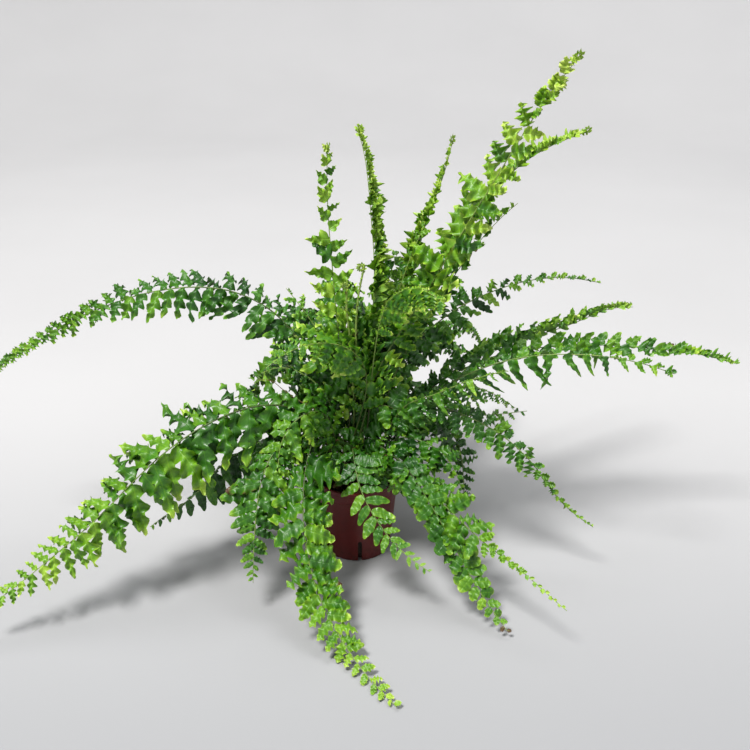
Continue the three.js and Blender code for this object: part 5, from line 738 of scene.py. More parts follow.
# ------------------------------------------------------------------ the fronds' own numbers
# name, style, the way the blade faces, half-width of the blade (mm), share of bare stalk, droop of the pinnae
# (degrees), spacing of pinnae on one side (mm), youth (0 old, 1 new), lobing, coil at the tip, tip size, midrib (mm)
FRONDS = [
    ("frond_left_high","A",(0.311,-0.548,0.777),22,0.2208,20,9,0.22,0.9,0,0.78,"-8.2,0.8,50;-9.8,0.9,60.2;-11.6,1,70.5;-13.6,1.2,80.6;-15.8,1.3,90.8;-18.2,1.5,100.8;-20.8,1.7,110.9;-23.6,1.9,120.9;-26.5,2.1,130.8;-30,2.4,140.6;-34.1,2.7,150.1;-39.2,3,159.1;-45.5,3.4,167.3;-52.9,4,174.6;-61.4,4.6,180.5;-70.6,5.2,185;-80.5,5.9,188.1;-90.7,6.6,189.6;-101.1,7.3,189.9;-111.4,8.1,189.2;-121.6,8.8,187.6;-131.7,9.5,185.5;-141.7,10.2,182.7;-151.5,10.9,179.3;-161.1,11.5,175.5;-170.5,12.2,171.2;-179.8,12.8,166.6;-188.9,13.5,161.7;-197.9,14.1,156.6;-206.9,14.7,151.5;-215.8,15.4,146.2;-224.6,16,140.7;-233.2,16.6,134.9;-241.5,17.1,128.8;-249.8,17.7,122.5"),
    ("frond_left_low","A",(0.295,-0.533,0.793),33,0.1244,20,8.8,0.32,0.9,0,1,"-14.5,-6.9,50;-15.9,-7.6,58.8;-17.5,-8.4,67.6;-19.5,-9.3,76.3;-21.9,-10.3,84.8;-24.8,-11.6,93.2;-28.3,-13.2,101.3;-32.8,-15.2,108.7;-38.5,-17.9,114.9;-45.6,-21.2,119.3;-53.3,-24.8,122;-61.3,-28.6,123.1;-69.4,-32.4,122.9;-77.5,-36.1,121.8;-85.3,-39.8,119.7;-93,-43.4,116.9;-100.5,-46.9,113.6;-107.8,-50.3,109.6;-114.9,-53.6,105.2;-121.6,-56.7,100.3;-128.2,-59.8,95;-134.5,-62.7,89.5;-140.8,-65.6,83.8;-147,-68.5,78;-153.3,-71.5,72.4;-159.7,-74.5,66.9;-166.3,-77.5,61.7;-173,-80.7,56.7;-179.8,-83.8,51.9;-186.6,-87,47;-193.5,-90.2,42.2;-200.4,-93.4,37.5;-207.4,-96.7,33;-214.5,-100,28.8;-221.7,-103.4,24.7"),
    ("frond_left_low_small","D",(0.28,-0.175,0.944),22,0.2098,48,9,0.05,0.15,0,1,"-11.4,-4.4,50;-12.8,-4.8,59;-15.9,-5.5,67.5;-20.8,-6.6,75;-26.9,-8,81.6;-33.7,-9.6,87.4;-41.4,-11.4,91.9;-50,-13.4,93.6;-58.8,-15.4,92.2;-67,-17.3,89;-75,-19.1,85.1;-82.7,-20.9,80.6;-89.7,-22.5,75;-95.7,-23.9,68.3;-101.5,-25.2,61.4;-107.9,-26.7,55.1;-115.1,-28.4,49.9;-122.7,-30.1,45.2;-130.2,-31.8,40.3;-137.4,-33.5,35.1"),
    ("frond_front_left_outer","E",(0.179,-0.498,0.848),23,0.1288,8,6.6,0.3,0.5,0,1,"-9.2,-13.1,50;-10,-14.1,59;-11.3,-15.4,67.9;-13.4,-17.2,76.6;-16.2,-19.1,85;-20,-20.7,93.1;-25.5,-22.7,100;-33.1,-25.8,103.5;-41,-30.1,102.4;-47.6,-35,98.6;-52.7,-40.5,93.5;-56.2,-46.6,87.7;-58.5,-52.7,81.4;-60.1,-58.1,74.3;-61.1,-62.5,66.4;-61.9,-66.2,58.1;-62.6,-69.5,49.7;-63.2,-72.6,41.1;-63.5,-75.6,32.6;-63.7,-78.6,24"),
    ("frond_front_left_inner","C",(0.161,-0.527,0.834),21,0.1288,10,6.8,0.45,0.35,0,1,"-8.2,-9.1,50;-8.9,-9.9,59.2;-10,-10.6,68.4;-11.4,-11.2,77.5;-12.9,-12.1,86.6;-14.3,-14.1,95.5;-16.1,-16.6,104.2;-19.6,-19.7,112.2;-26.1,-23.9,116.9;-33.9,-28.5,115.8;-40.6,-32.8,111;-45.2,-36.6,104;-47.7,-40,95.8;-48.3,-43.5,87.3;-47.7,-46.8,78.7;-46.5,-49.5,69.9;-45.3,-51.7,61;-44.1,-53.6,52"),
    ("frond_front_long","C",(0.051,-0.651,0.757),22,0.12,12,9.4,0.3,0.65,0,1,"-2.6,-15.8,50;-3.2,-15.4,58.9;-4.1,-13.9,67.6;-5.3,-10.9,75.8;-7.1,-6.9,83.5;-10,-3,90.9;-15.3,-2.5,97.7;-20.8,-8.9,99.7;-24.6,-16.8,98.5;-27.3,-24.9,95.9;-29.2,-32.7,92.4;-30.6,-40.3,87.9;-31.5,-47.4,82.8;-32,-54.2,77;-32,-60.5,70.8;-31.6,-66.5,64.3;-30.8,-72.4,57.6;-29.5,-78,50.9;-27.7,-83.5,44.2;-25.4,-88.9,37.5;-22.5,-94.3,31.1;-19,-99.9,25.1;-15,-105.6,19.7;-10.6,-111.8,15;-6,-118.2,11.1;-1.1,-125,8.1;3.8,-132,5.8;8.9,-139.1,4.2;14.2,-146.2,3.2;19.7,-153.1,2.6;25.2,-160.1,2.2"),
    ("frond_front_center","D",(-0.031,-0.696,0.718),15.5,0.1288,6,7.6,0.35,0.1,0,1,"3.6,-15.6,50;3.8,-16.6,58.9;3.1,-16.9,67.7;1.5,-16.5,76.5;-0.8,-17.1,85;-1.6,-23.9,89.1;-0.5,-32.1,85.9;0.9,-39.4,81;3,-45.8,75.3;6.3,-51.3,69;10.4,-55.7,62.5;15.2,-59.8,56.2;20.4,-63.9,50.3;26.3,-68.2,45.1;32.8,-72.4,40.7;39.8,-76.5,37;47.1,-80.6,34"),
    ("frond_right_front","E",(-0.128,-0.721,0.681),19.5,0.12,8,8.4,0.5,0.55,0,0.42,"11.9,-10.7,50;12.5,-11,58.9;12.6,-11,67.9;12.5,-11,76.8;14.4,-12.8,85.2;20.8,-18.7,85.5;27,-24.3,82.3;33,-29.7,78.4;39,-35.1,74.5;45,-40.5,70.7;51.1,-46,67.1;57.3,-51.6,63.7;63.4,-57.1,60.2;69.5,-62.6,56.5;75.6,-68.1,52.9;81.9,-73.7,50;88.3,-79.5,47.7;94.8,-85.4,45.7;101.2,-91.1,43.4;107.5,-96.8,40.4;113.7,-102.4,37.1;119.9,-108,33.9;126.2,-113.6,30.9"),
    ("frond_right_front_low","R",(-0.133,-0.582,0.802),12.5,0.1508,8,7.6,0.25,0.1,0,1,"8,-9.2,50;8.9,-10.5,58.8;10.8,-12.7,67.2;13.9,-16,74.9;18.2,-20.4,81.4;23.6,-26,85.5;29.6,-32.4,85.2;35,-38.1,81;39.8,-43.3,75.6;44.5,-48.3,69.9;49.1,-53.2,64;53.5,-58.1,58;57.9,-62.7,51.7;62.1,-67.2,45.2;66.3,-71.7,38.7;70.5,-76.2,32.3;74.9,-80.9,26.1;79.6,-85.9,20.4;84.4,-91.2,15.1;89.5,-96.6,10;94.5,-102,5.1"),
    ("frond_right_drooping","E",(-0.269,-0.295,0.917),15,0.2428,8,8.5,0.3,0.5,0,0.6,"11.8,-3.2,50;13,-3.5,58.9;14.5,-3.8,67.7;16.3,-4.1,76.4;18.6,-4.4,85.1;21.6,-4.6,93.5;25.8,-5.1,101.4;31.5,-6.2,108.1;38.8,-8.4,112.7;47.1,-10.7,114.7;55.8,-12.7,114.4;64.3,-14.5,112.3;72.6,-16.2,109.4;80.7,-17.9,106;88.6,-19.5,102.1;96.1,-21.1,97.5;103.1,-22.6,92.2;109.6,-24,86.2;115.7,-25.3,79.8;121.3,-26.5,72.9;126.5,-27.6,65.7;131.7,-28.7,58.5;137.4,-29.9,51.8;143.9,-31.3,45.8;151,-32.8,40.5;158.4,-34.4,35.7"),
    ("frond_right_long","T",(-0.288,-0.584,0.759),13,0.2208,4,11,0.3,0.35,0,1,"12.2,0.4,50;14.3,0.5,58.9;16.8,0.7,67.6;20,1.1,76.2;23.8,1.5,84.4;28.2,1.9,92.4;33.1,2.5,100.1;38.5,3.1,107.4;44.4,3.7,114.2;51.1,4.4,120.4;58.4,5.2,125.7;66.3,6,130.3;74.4,6.9,134.3;82.8,7.8,137.8;91.3,8.7,140.8;100.1,9.6,143.2;109,10.5,144.7;118,11.5,145.7;127.1,12.4,146.2;136.1,13.4,146.5;145.2,14.3,146.6;154.2,15.3,146.4;163.3,16.2,146;172.3,17.2,145.2;181.3,18.1,144.2;190.3,19.1,143;199.3,20,141.8;208.3,21,140.5;217.2,21.9,139.1;226.1,22.8,137.4;235,23.8,135.4;243.7,24.7,133.1;252.4,25.6,130.4;261,26.5,127.5"),
    ("frond_right_long_lower","S",(-0.281,-0.358,0.89),21,0.2164,38,11.5,0.25,0.3,0,1,"15.8,-2.8,50;17.4,-3.1,58.7;19.6,-3.4,67.3;22.6,-4,75.6;26.4,-4.6,83.6;30.5,-5.2,91.4;35.1,-5.8,99;39.9,-6.5,106.3;45.1,-7.3,113.5;50.7,-8.4,120.2;56.9,-9.7,126.4;63.7,-11.1,132;70.9,-12.5,136.9;78.4,-13.8,141.4;86.2,-15.2,145.4;94.3,-16.6,148.7;102.6,-18.1,151.5;111.1,-19.6,153.6;119.7,-21.1,155.2;128.3,-22.6,156.3;137,-24.2,156.9;145.7,-25.7,157.2;154.5,-27.2,156.9;163.2,-28.8,156.2;171.8,-30.3,154.9;180.3,-31.8,153.2;188.8,-33.3,150.9;197.2,-34.8,148.4"),
    ("frond_right_rising","T",(-0.258,-0.232,0.938),16,0.2318,-48,10,0.5,0.15,0,1,"10,7,50;12,8.1,58.6;14.9,9.6,66.9;19.1,11.8,74.5;24.1,14.4,81.3;29.8,17.4,87.6;35.7,20.4,93.5;41.9,23.5,99.1;48.3,26.8,104.5;54.9,30.1,109.5;61.7,33.5,114.1;68.8,37.1,118.2;76.2,40.8,121.6;83.7,44.7,124.3;91.5,48.6,126.5;99.3,52.6,128;107.2,56.6,129.2;115.1,60.7,130;123,64.7,130.7;130.9,68.7,131.4;138.9,72.8,132.2;146.8,76.8,133;154.7,80.8,134.1;162.5,84.8,135.5;170.3,88.8,137.2;178.1,92.8,138.9;186,96.8,140.1;194,100.9,140.2;201.9,104.9,139.4;209.7,108.9,138"),
    ("frond_right_upper","A",(-0.246,-0.47,0.848),18,0.2208,14,9.5,0.2,0.5,0,0.62,"8.2,0.4,50;9.5,0.5,59;10.9,0.7,68;12.5,1,77;14.2,1.4,85.9;16.1,1.8,94.8;18.2,2.3,103.6;20.4,2.8,112.4;23,3.4,121.1;26,4.1,129.7;29.8,5,137.9;34.5,6,145.6;40.3,7.2,152.6;46.7,8.6,158.8;53.7,10.1,164.5;61,11.6,169.7;68.6,13.3,174.3;76.6,15,178.3;84.9,16.7,181.7;93.3,18.5,184.5;102,20.3,186.9;110.7,22.2,188.5;119.5,24.1,189.5;128.4,26,189.7;137.3,27.9,189.2;146.1,29.7,187.9;154.8,31.6,185.9;163.4,33.4,183.6"),
    ("frond_tall_right","B",(-0.223,-0.616,0.755),22,0.212,10,12.5,0.85,0.7,1,1,"2.5,-3.1,50;3.5,-3.6,59.1;4.6,-4,68.3;5.8,-4.3,77.4;6.9,-4.7,86.5;7.9,-5.1,95.6;8.7,-5.4,104.8;9.7,-5.6,114;11.1,-5.6,123.1;13.3,-5.8,132;16.4,-6.2,140.6;20.1,-6.9,149;24.3,-7.8,157.2;28.7,-8.8,165.2;33.3,-9.7,173.1;37.8,-10.7,181.1;42.3,-11.6,189.1;46.6,-12.6,197.2;50.8,-13.4,205.3;54.9,-14.3,213.5;59.1,-15.2,221.6;63.3,-16.1,229.8;67.6,-17,237.9;71.9,-17.9,246;76.2,-18.9,254;80.5,-19.8,262.1;84.8,-20.7,270.2;89,-21.6,278.3;93.3,-22.5,286.4;97.7,-23.4,294.5;102.2,-24.4,302.4;106.9,-25.4,310.3;111.9,-26.4,318;117.1,-27.5,325.5;122.4,-28.7,332.9"),
    ("frond_tall_right_back","T",(-0.231,-0.522,0.821),14,0.2208,10,9.5,0.6,0.5,1,1,"7.2,3.8,50;8.5,4.5,58.8;9.9,5.1,67.6;11.5,5.9,76.3;13.4,6.7,85;15.4,7.6,93.6;17.5,8.5,102.2;19.8,9.5,110.7;22.2,10.6,119.2;24.8,11.7,127.7;27.5,12.9,136;30.6,14.3,144.3;33.9,15.7,152.4;37.6,17.4,160.4;41.6,19.1,168.1;45.8,21,175.7;50.2,23,183.2;54.7,25,190.6;59.3,27,198;63.9,29.1,205.3;68.6,31.2,212.6;73.4,33.3,219.8;78.2,35.4,227;83.2,37.7,234;88.4,40,240.9;94,42.5,247.3;100,45.2,253.2;106.6,48.1,258.4;113.7,51.3,262.8;121.1,54.5,266.5;128.7,57.9,269.6;136.5,61.4,272.1;144.4,64.9,274.2;152.4,68.5,276"),
    ("frond_right_thin","T",(-0.258,-0.293,0.921),12,0.45,15,12,0.4,0.1,0,1,"7.6,-3.1,50;8.7,-3.5,58.8;10,-3.8,67.6;11.6,-4,76.4;13.3,-4.1,85.2;15.2,-4,93.9;17.2,-3.8,102.5;19.3,-3.7,111.2;21.6,-4,119.8;24,-4.5,128.4;26.8,-5,136.8;30.2,-5.4,145;34,-5.9,153.1;38.2,-6.3,160.9;42.6,-6.8,168.7;46.9,-7.2,176.4;51.2,-7.7,184.2;55.5,-8.2,192;59.9,-8.6,199.8;64.4,-9.1,207.5;69,-9.6,215;74,-10.1,222.4;79.2,-10.6,229.6;84.8,-11.2,236.5;90.8,-11.9,243.1;97.2,-12.5,249.2"),
    ("frond_upright_right","T",(-0.17,-0.31,0.936),16,0.2538,5,8.5,0.75,0.2,1,1,"5.2,5.9,50.3;6.1,7.3,59.1;7.4,9.1,67.7;9.1,11.6,76.1;11.1,14.4,84.2;13.4,17.5,92.3;15.9,20.6,100.2;18.4,23.8,108.1;20.8,27,116.1;23.3,30.1,124.1;25.6,33,132.1;27.8,35.9,140.2;29.9,38.5,148.5;31.9,41.1,156.8;33.8,43.5,165.1;35.7,46,173.4;37.7,48.5,181.7;39.8,51.2,189.9;41.9,53.9,198.1;44.2,56.8,206.2;46.7,60.1,214.1;49.6,63.8,221.6;52.7,67.7,229;55.8,71.7,236.3;58.8,75.5,243.8;61.4,78.8,251.6;63.7,81.8,259.7;65.8,84.5,267.9"),
    ("frond_upright_center","T",(0.339,-0.132,0.931),12,0.2428,0,7,0.65,0.4,1,1,"-2.3,3.3,50;-2.4,3.9,58.8;-2,4.1,67.6;-0.8,4,76.4;1,3.6,85;3,3.1,93.6;5,2.7,102.2;6.7,2.5,110.9;7.9,2.6,119.7;8.8,3,128.5;9.3,3.7,137.3;9.7,4.5,146;10.2,5.4,154.8;10.8,6.4,163.6;11.4,7.5,172.3;12,8.7,181.1;12.4,10.1,189.8;12.5,11.5,198.5;12.3,13.1,207.2;11.8,14.9,215.9;11.1,16.7,224.5;10.4,18.6,233.1;9.7,20.5,241.7;8.9,22.7,250.2;8,24.9,258.7;6.7,27.3,267.1;4.8,29.7,275.4;2.4,32,283.6"),
    ("frond_upright_left","U",(0.078,-0.806,0.587),17,0.2296,0,11.8,0.82,0.45,1,1,"-3.3,-2.2,50;-4.1,-2.9,59;-4.6,-3.3,68.1;-4.8,-3.2,77.2;-4.7,-2.5,86.2;-4.4,-1.5,95.2;-4,-0.4,104.2;-4.2,0.3,113.3;-5,1,122.3;-6.3,1.8,131.3;-7.7,2.7,140.2;-9.1,3.7,149.1;-10.4,4.7,158.1;-11.4,5.6,167;-12.3,6.7,176;-13,7.8,185;-13.6,9,194;-14.2,10.4,202.9;-14.9,11.8,211.9;-15.5,13.3,220.8;-16.1,14.7,229.8;-16.5,16.2,238.7;-16.7,17.8,247.7;-16.8,19.5,256.6;-16.5,21.2,265.5;-15.9,23,274.4"),
    ("fiddlehead_center","N",(-0.069,-0.089,0.994),3,0.8,0,6,0.9,0,2,1,"3.2,2.4,50;4.1,3,58.7;4.6,3,67.5;4.8,2.3,76.3;4.7,1.2,85;4.3,0.1,93.7;3.8,-1,102.5;3.5,-2.1,111.2;3.1,-3,119.9;2.5,-3.5,128.7;1.8,-3.8,137.5;1.1,-3.9,146.2;0.8,-4.2,155;0.8,-4.6,163.8;1.1,-5,172.6;1.8,-5.4,181.4;2.8,-5.9,190.1;4.4,-6.4,198.8;6.2,-7,207.4"),
    ("fiddlehead_left","N",(0.025,-0.076,0.997),3,0.7,0,6,0.9,0,2,1,"-3.9,0.7,50;-5,1,59.1;-5.3,1,68.3;-4.3,0.8,77.5;-2.6,-0.2,86.5;-1.4,-1.8,95.4;-1,-3,104.5;-1,-3.4,113.7;-1.3,-3.6,122.9;-1.7,-3.9,132.1;-2.1,-4.2,141.3;-2.5,-4.5,150.5;-3,-4.9,159.7;-3.9,-5.4,168.8;-4.7,-5.9,178;-4.8,-6.4,187.2;-4.4,-7,196.3"),
    ("frond_center_arching","K",(0.123,-0.507,0.853),27,0.34,20,10.4,0.5,0.6,0,1,"-5.8,-5.7,50;-6.4,-6.4,59;-5.9,-6.9,68;-4.4,-7.3,76.9;-2.3,-7.8,85.6;-0,-8.5,94.4;2.3,-9.3,103.1;4.5,-10.2,111.8;6.4,-11.1,120.5;7.4,-12.1,129.4;7.1,-13.7,138.3;5.2,-16.4,146.7;1.7,-20,154.2;-3.2,-24.4,160.4;-8.9,-29.4,165.3;-15.2,-34.7,168.8;-22,-40.2,171.1;-29.2,-45.6,171.8;-36.5,-50.7,170.7;-43.6,-55.5,167.9;-50.5,-60,164"),
    ("frond_young_right","K",(-0.155,-0.47,0.869),14,0.62,40,7.4,0.66,0.3,0,1,"-0.5,-4,50;-0.5,-5.1,58.9;-0.2,-6.1,67.9;0.6,-7.1,76.8;1.8,-8,85.7;3.5,-8.5,94.5;5.5,-8.6,103.2;7.4,-8.6,112;8.9,-8.8,120.9;10.2,-9.5,129.8;11.2,-10.6,138.7;12.1,-12,147.5;13.1,-13.5,156.3;14.3,-15.1,165.1;15.8,-17,173.8;17.9,-19.1,182.3;21.1,-21.7,190.3;26,-25,197;32.7,-28.9,201.4;40.5,-33.3,202.4;47.8,-37.7,200;54.4,-42,195.7"),
    ("frond_back_right_arching","E",(-0.147,-0.401,0.904),17,0.2318,15,8,0.1,0.4,0,1,"1.2,8.4,49.9;2.2,10.1,58.6;3.8,12.7,66.9;6.2,16.5,74.5;9.1,21.2,81.4;12.5,26.4,87.7;16.1,31.9,93.6;19.9,37.7,99.1;24,43.9,104;28.1,50.4,108.2;32.5,57.3,111.7;37,64.4,114.6;41.6,71.6,116.8;46.4,78.8,118.6;51.2,86.1,120;56,93.4,121.1;60.7,100.9,121.6;65.2,108.5,121.6;69.7,116.1,120.9;74.1,123.7,119.6;78.6,131,117.4;83,138.1,114.4;87.2,144.8,110.6;91.1,151.2,105.9;94.8,157,100.3;98.1,162.4,94.1;101.2,167.3,87.4;104,171.8,80.4;106.7,176.2,73.1"),
    ("dry_stem_left","X",(0.254,-0.261,0.931),4,0.6,10,10,-1,0,0,1,"-12.2,-0.9,50;-13.2,-1,58.7;-14.4,-1.1,67.5;-15.8,-1.3,76.1;-17.3,-1.6,84.8;-19.3,-1.9,93.4;-22.4,-2.3,101.6;-27.9,-3.1,108.3;-35,-4.1,113.3;-42,-5.1,118.6;-48.2,-6.1,124.7;-54.4,-7.4,130.8;-62.8,-8.8,132.2"),
    ("frond_right_back_hanging","E",(-0.248,-0.274,0.929),17,0.2428,15,8,0,0.5,0,1,"11.6,3.9,50;12.7,4.3,59.1;14.6,5,68.1;17.4,6.1,76.7;21,7.6,85;26.3,9.8,92.1;34.2,13,94.9;42.2,16.3,92.2;49.6,19.3,87.7;56.9,22.2,82.9;63.7,24.9,77.4;69.2,27.2,70.5;73,28.7,62.3;75.3,29.6,53.4;76.7,30.2,44.3;77.6,30.6,35.2;78.3,30.8,26.1;78.5,31,16.9;78.5,31,7.7"),
    ("frond_front_right_inner","C",(-0.074,-0.779,0.623),19,0.1332,6,7.6,0.12,0.3,0,1,"5,-11.1,50;5.4,-12.3,59;5.7,-12.2,68.1;5.6,-10.6,77.1;5.4,-8.1,85.9;5,-5.5,94.6;7,-2.9,103;12.6,-3.8,109.9;20.6,-7,112.3;29,-8.8,109.4;36,-9.8,103.8;41.8,-11.8,97;46.1,-15.1,89.6;49.3,-18.9,82"),
    ("frond_left_mid","E",(0.252,-0.288,0.924),14,0.2428,20,10,0.05,0.5,0,1,"-7.7,-2.7,50;-8.8,-3.1,59.2;-9.9,-3.4,68.3;-11.1,-3.5,77.5;-12.1,-3.8,86.7;-13.2,-4.6,95.8;-14.9,-4.2,104.8;-17.5,-3.6,113.7;-21.5,-3.7,122;-27.4,-4.1,129;-34.6,-4.6,134.7;-42.9,-5.1,138.6;-52.1,-5.4,138.8;-60.6,-5.2,135.5"),
    ("frond_right_center","S",(-0.24,-0.215,0.947),18,0.2472,40,9,0.2,0.3,0,1,"10.3,-6.5,50;11.3,-7.1,59;12.8,-7.8,68;15.1,-8.8,76.8;17.7,-9.8,85.4;20.7,-10.9,94;24.1,-12.2,102.4;28.1,-13.7,110.4;33.5,-15.9,117.4;40.4,-18.6,122.6;47.9,-21.7,126.8;55.2,-24.6,131.4;62.4,-27.5,136.3;69.6,-30.4,141;77,-33.4,145.3;84.7,-36.5,149.1;92.5,-39.7,152.7"),
    ("frond_right_center_low","E",(-0.252,-0.327,0.911),15,0.2538,20,9,0.15,0.3,0,1,"15.8,2.8,50;16.8,3,58.8;18.8,3.3,67.4;22,3.9,75.7;26.5,4.7,83.3;32.4,5.7,89.7;40.2,7.1,93.8;48.8,8.6,95.4;57.5,10.1,95.7;66.2,11.7,95.2;74.9,13.2,94.5;83.6,14.7,93.8;92.4,16.3,93.6;101.1,17.8,93.6;109.9,19.4,93.9;118.6,20.9,94.2"),
    ("frond_right_center_back","E",(-0.214,-0.412,0.886),15,0.2538,15,9,0.2,0.3,0,1,"7.4,9.7,50;8.3,10.9,58.7;10.3,12.8,67;13.7,15.3,74.7;18,18,81.8;23.1,20.9,88.4;28.8,24.4,94.1;35.3,28.6,98.1;42.5,33.3,100;49.8,38.2,100;57,43.1,99.2;64.3,48,98.2;71.5,52.9,97;78.6,57.7,95.1;85.5,62.3,92.4;92.1,66.8,88.7;98.5,71.1,84.4;104.6,75.2,79.6;110.4,79.1,74.3;116,82.9,68.7;121.5,86.6,62.9"),
    ("frond_inner_upright_right","A",(-0.18,-0.513,0.839),22,0.2428,10,12,0.3,0.6,0,1,"4,-0.6,50;5.1,-0.7,59.1;6.2,-0.5,68.1;7.2,0,77.2;8.3,0.8,86.2;9.3,1.6,95.3;10.5,2.6,104.3;11.7,3.6,113.3;13.2,4.6,122.2;14.9,5.8,131.1;16.9,6.9,140;19.1,8.2,148.8;21.3,9.5,157.5;23.5,10.8,166.3;25.8,12,175.1;28.1,13.4,183.8;30.7,14.9,192.4;33.6,16.5,200.9;36.8,18.4,209.3;40.4,20.5,217.4;44.1,22.6,225.5"),
    ("frond_inner_upright_back","B",(-0.14,-0.468,0.872),20,0.2538,10,12,0.25,0.6,0,1,"0.6,3.9,50;0.9,5,59;1.3,5.7,68;2.1,5.9,77;3.2,5.9,86;4.3,6,94.9;5.5,6.3,103.9;6.7,7,112.8;7.9,7.9,121.7;9.2,9.3,130.6;10.6,11.2,139.3;12.1,13.4,148;13.6,15.9,156.5;15.4,18.7,164.9;17.4,21.8,173.2;19.7,25.2,181.2;22.3,29.1,189;25.1,33.4,196.4;28.1,38,203.6"),
    ("frond_inner_left","A",(0.226,-0.411,0.883),24,0.2472,12,12.5,0.15,0.8,0,1,"-7,4.2,50;-7.9,4.8,58.7;-8.2,5,67.5;-7.6,4.9,76.2;-6.4,4.5,84.9;-5.1,4.1,93.6;-4.1,3.8,102.3;-3.9,3.9,111.1;-5,4.3,119.8;-7.6,4.8,128.2;-11.1,5.5,136.1;-15.2,6.5,143.9;-19.5,7.6,151.4;-24.1,8.8,158.8;-28.9,10.1,166.1;-33.9,11.4,173.2;-39.1,12.8,180.1;-44.5,14.3,186.8"),
    ("frond_left_low_back","E",(0.243,-0.424,0.873),18,0.2296,22,11,0.15,0.6,0,1,"-11.9,2.7,50;-12.9,2.9,58.9;-14,3.1,67.7;-15.1,3.3,76.5;-16.6,3.5,85.3;-19.9,3.9,93.6;-26.3,4.7,99.5;-34.7,5.9,102.1;-43.4,7.1,103.4;-52.2,8.3,104.5;-61,9.6,104.8;-69.8,10.8,103.7;-78.1,12,100.8;-85.7,13,96.2;-92.6,14,90.8"),
    ("frond_front_low_center","C",(-0.096,-0.653,0.751),15,0.1376,8,7.2,0.1,0.3,0,1,"8,-13.9,50;8.7,-14.7,57.9;8.7,-15.5,65.8;7.5,-16,73.6;5.7,-16.5,81.4;8.1,-20.3,83.1;12.9,-22.4,77.1;18,-23.1,71;23.1,-23.3,64.9;27.9,-23.2,58.5;32.4,-23.1,52"),
    ("frond_front_low_left","E",(0.144,-0.643,0.753),16,0.1376,10,7.8,0.1,0.4,0,1,"-6.1,-14.8,50;-6.5,-16,59.1;-7,-16.1,68.2;-7.5,-15,77.3;-9.6,-14.4,86.1;-17.6,-16.6,85.3;-23.1,-19.9,78.9;-27.4,-22.7,71.3;-31.8,-24.9,63.5;-36,-27,55.7;-40,-29.6,47.8;-43.8,-32.5,40"),
    ("frond_right_low","C",(-0.167,-0.557,0.814),16,0.2208,12,8,0.1,0.4,0,1,"14.6,-6.5,50;15.5,-6.9,58.8;17,-7.6,67.5;19.2,-8.6,76.1;22.5,-10,84.2;27.9,-12.4,90.6;35.6,-15.9,93.1;43.7,-19.5,92.7;51.5,-22.9,90.3;58.3,-26,85.5;63.5,-28.3,78.8;67.3,-30,71;70.1,-31.2,62.7"),
    ("frond_back_01","A",(-0.163,-0.237,0.958),24,0.212,16,10,0.25,0.5,0,1,"7.6,14.1,50;8.1,14.8,59.1;8.8,15.7,68.2;9.7,17.2,77.1;11,19.7,85.8;12.7,23.2,94;15,27.6,101.7;17.7,32.8,108.7;20.9,38.6,115;24.5,45,120.4;28.5,51.9,124.7;32.8,59.4,127.8;37.3,67.1,129.5;42,75,129.7;46.5,82.7,128.4;51,90.3,125.8;55.4,97.3,122.1;59.8,103.9,117.6;64.3,109.8,112.2;68.5,115.3,106.3;72.5,120.4,99.9;76.3,125.1,93.1;79.9,129.5,85.9;83.3,133.6,78.5;86.6,137.3,70.8;89.8,140.6,62.9;92.9,143.5,54.8;95.9,146.2,46.6;98.9,148.6,38.3;101.8,150.9,30"),
    ("frond_back_02","C",(-0.008,-0.287,0.958),25,0.212,16,10,0.25,0.5,0,1,"1.9,12.4,49.9;1.9,13.4,58.7;2,14.2,67.6;2.1,14.9,76.5;2.4,15.9,85.3;2.8,17.4,94.1;3.3,19.9,102.6;4,23.2,110.8;4.6,27.5,118.6;5.4,32.6,125.8;6.3,38.7,132.2;7.2,45.7,137.7;8.2,53.4,141.9;9.2,61.8,144.7;10.1,70.5,146;10.9,79.4,145.7;11.6,88.1,144.2;12.1,96.6,141.5;12.5,104.7,137.9;12.8,112.4,133.5;12.9,119.8,128.5;12.9,126.8,123;12.7,133.4,117.1;12.5,139.8,110.9;12.1,145.8,104.3;11.6,151.6,97.6;11,157.1,90.6;10.2,162.4,83.5;9.4,167.4,76.2;8.4,172.3,68.9;7.4,177.1,61.5;6.4,181.9,54"),
    ("frond_back_03","E",(0.008,-0.287,0.958),26,0.212,16,10,0.25,0.5,0,1,"-2,15.9,50;-2.1,17,59;-2.3,18.4,67.9;-2.5,20.5,76.7;-2.9,23.9,85.1;-3.4,28.4,92.9;-4.1,34.1,99.9;-4.8,40.6,106.2;-5.5,47.9,111.6;-6.3,55.7,116;-7.1,64.1,119.3;-7.8,72.9,121.3;-8.6,81.9,121.9;-9.2,90.9,121.1;-9.8,99.7,118.9;-10.2,108.1,115.6;-10.6,116.1,111.4;-10.8,123.6,106.4;-11,130.7,100.7;-11,137.3,94.5;-11,143.5,87.9;-10.9,149.4,81.1;-10.7,155,74;-10.4,160.4,66.7;-10,165.5,59.2;-9.5,170.3,51.6;-8.9,175,43.8;-8.2,179.4,35.9;-7.4,183.7,28;-6.6,187.9,20"),
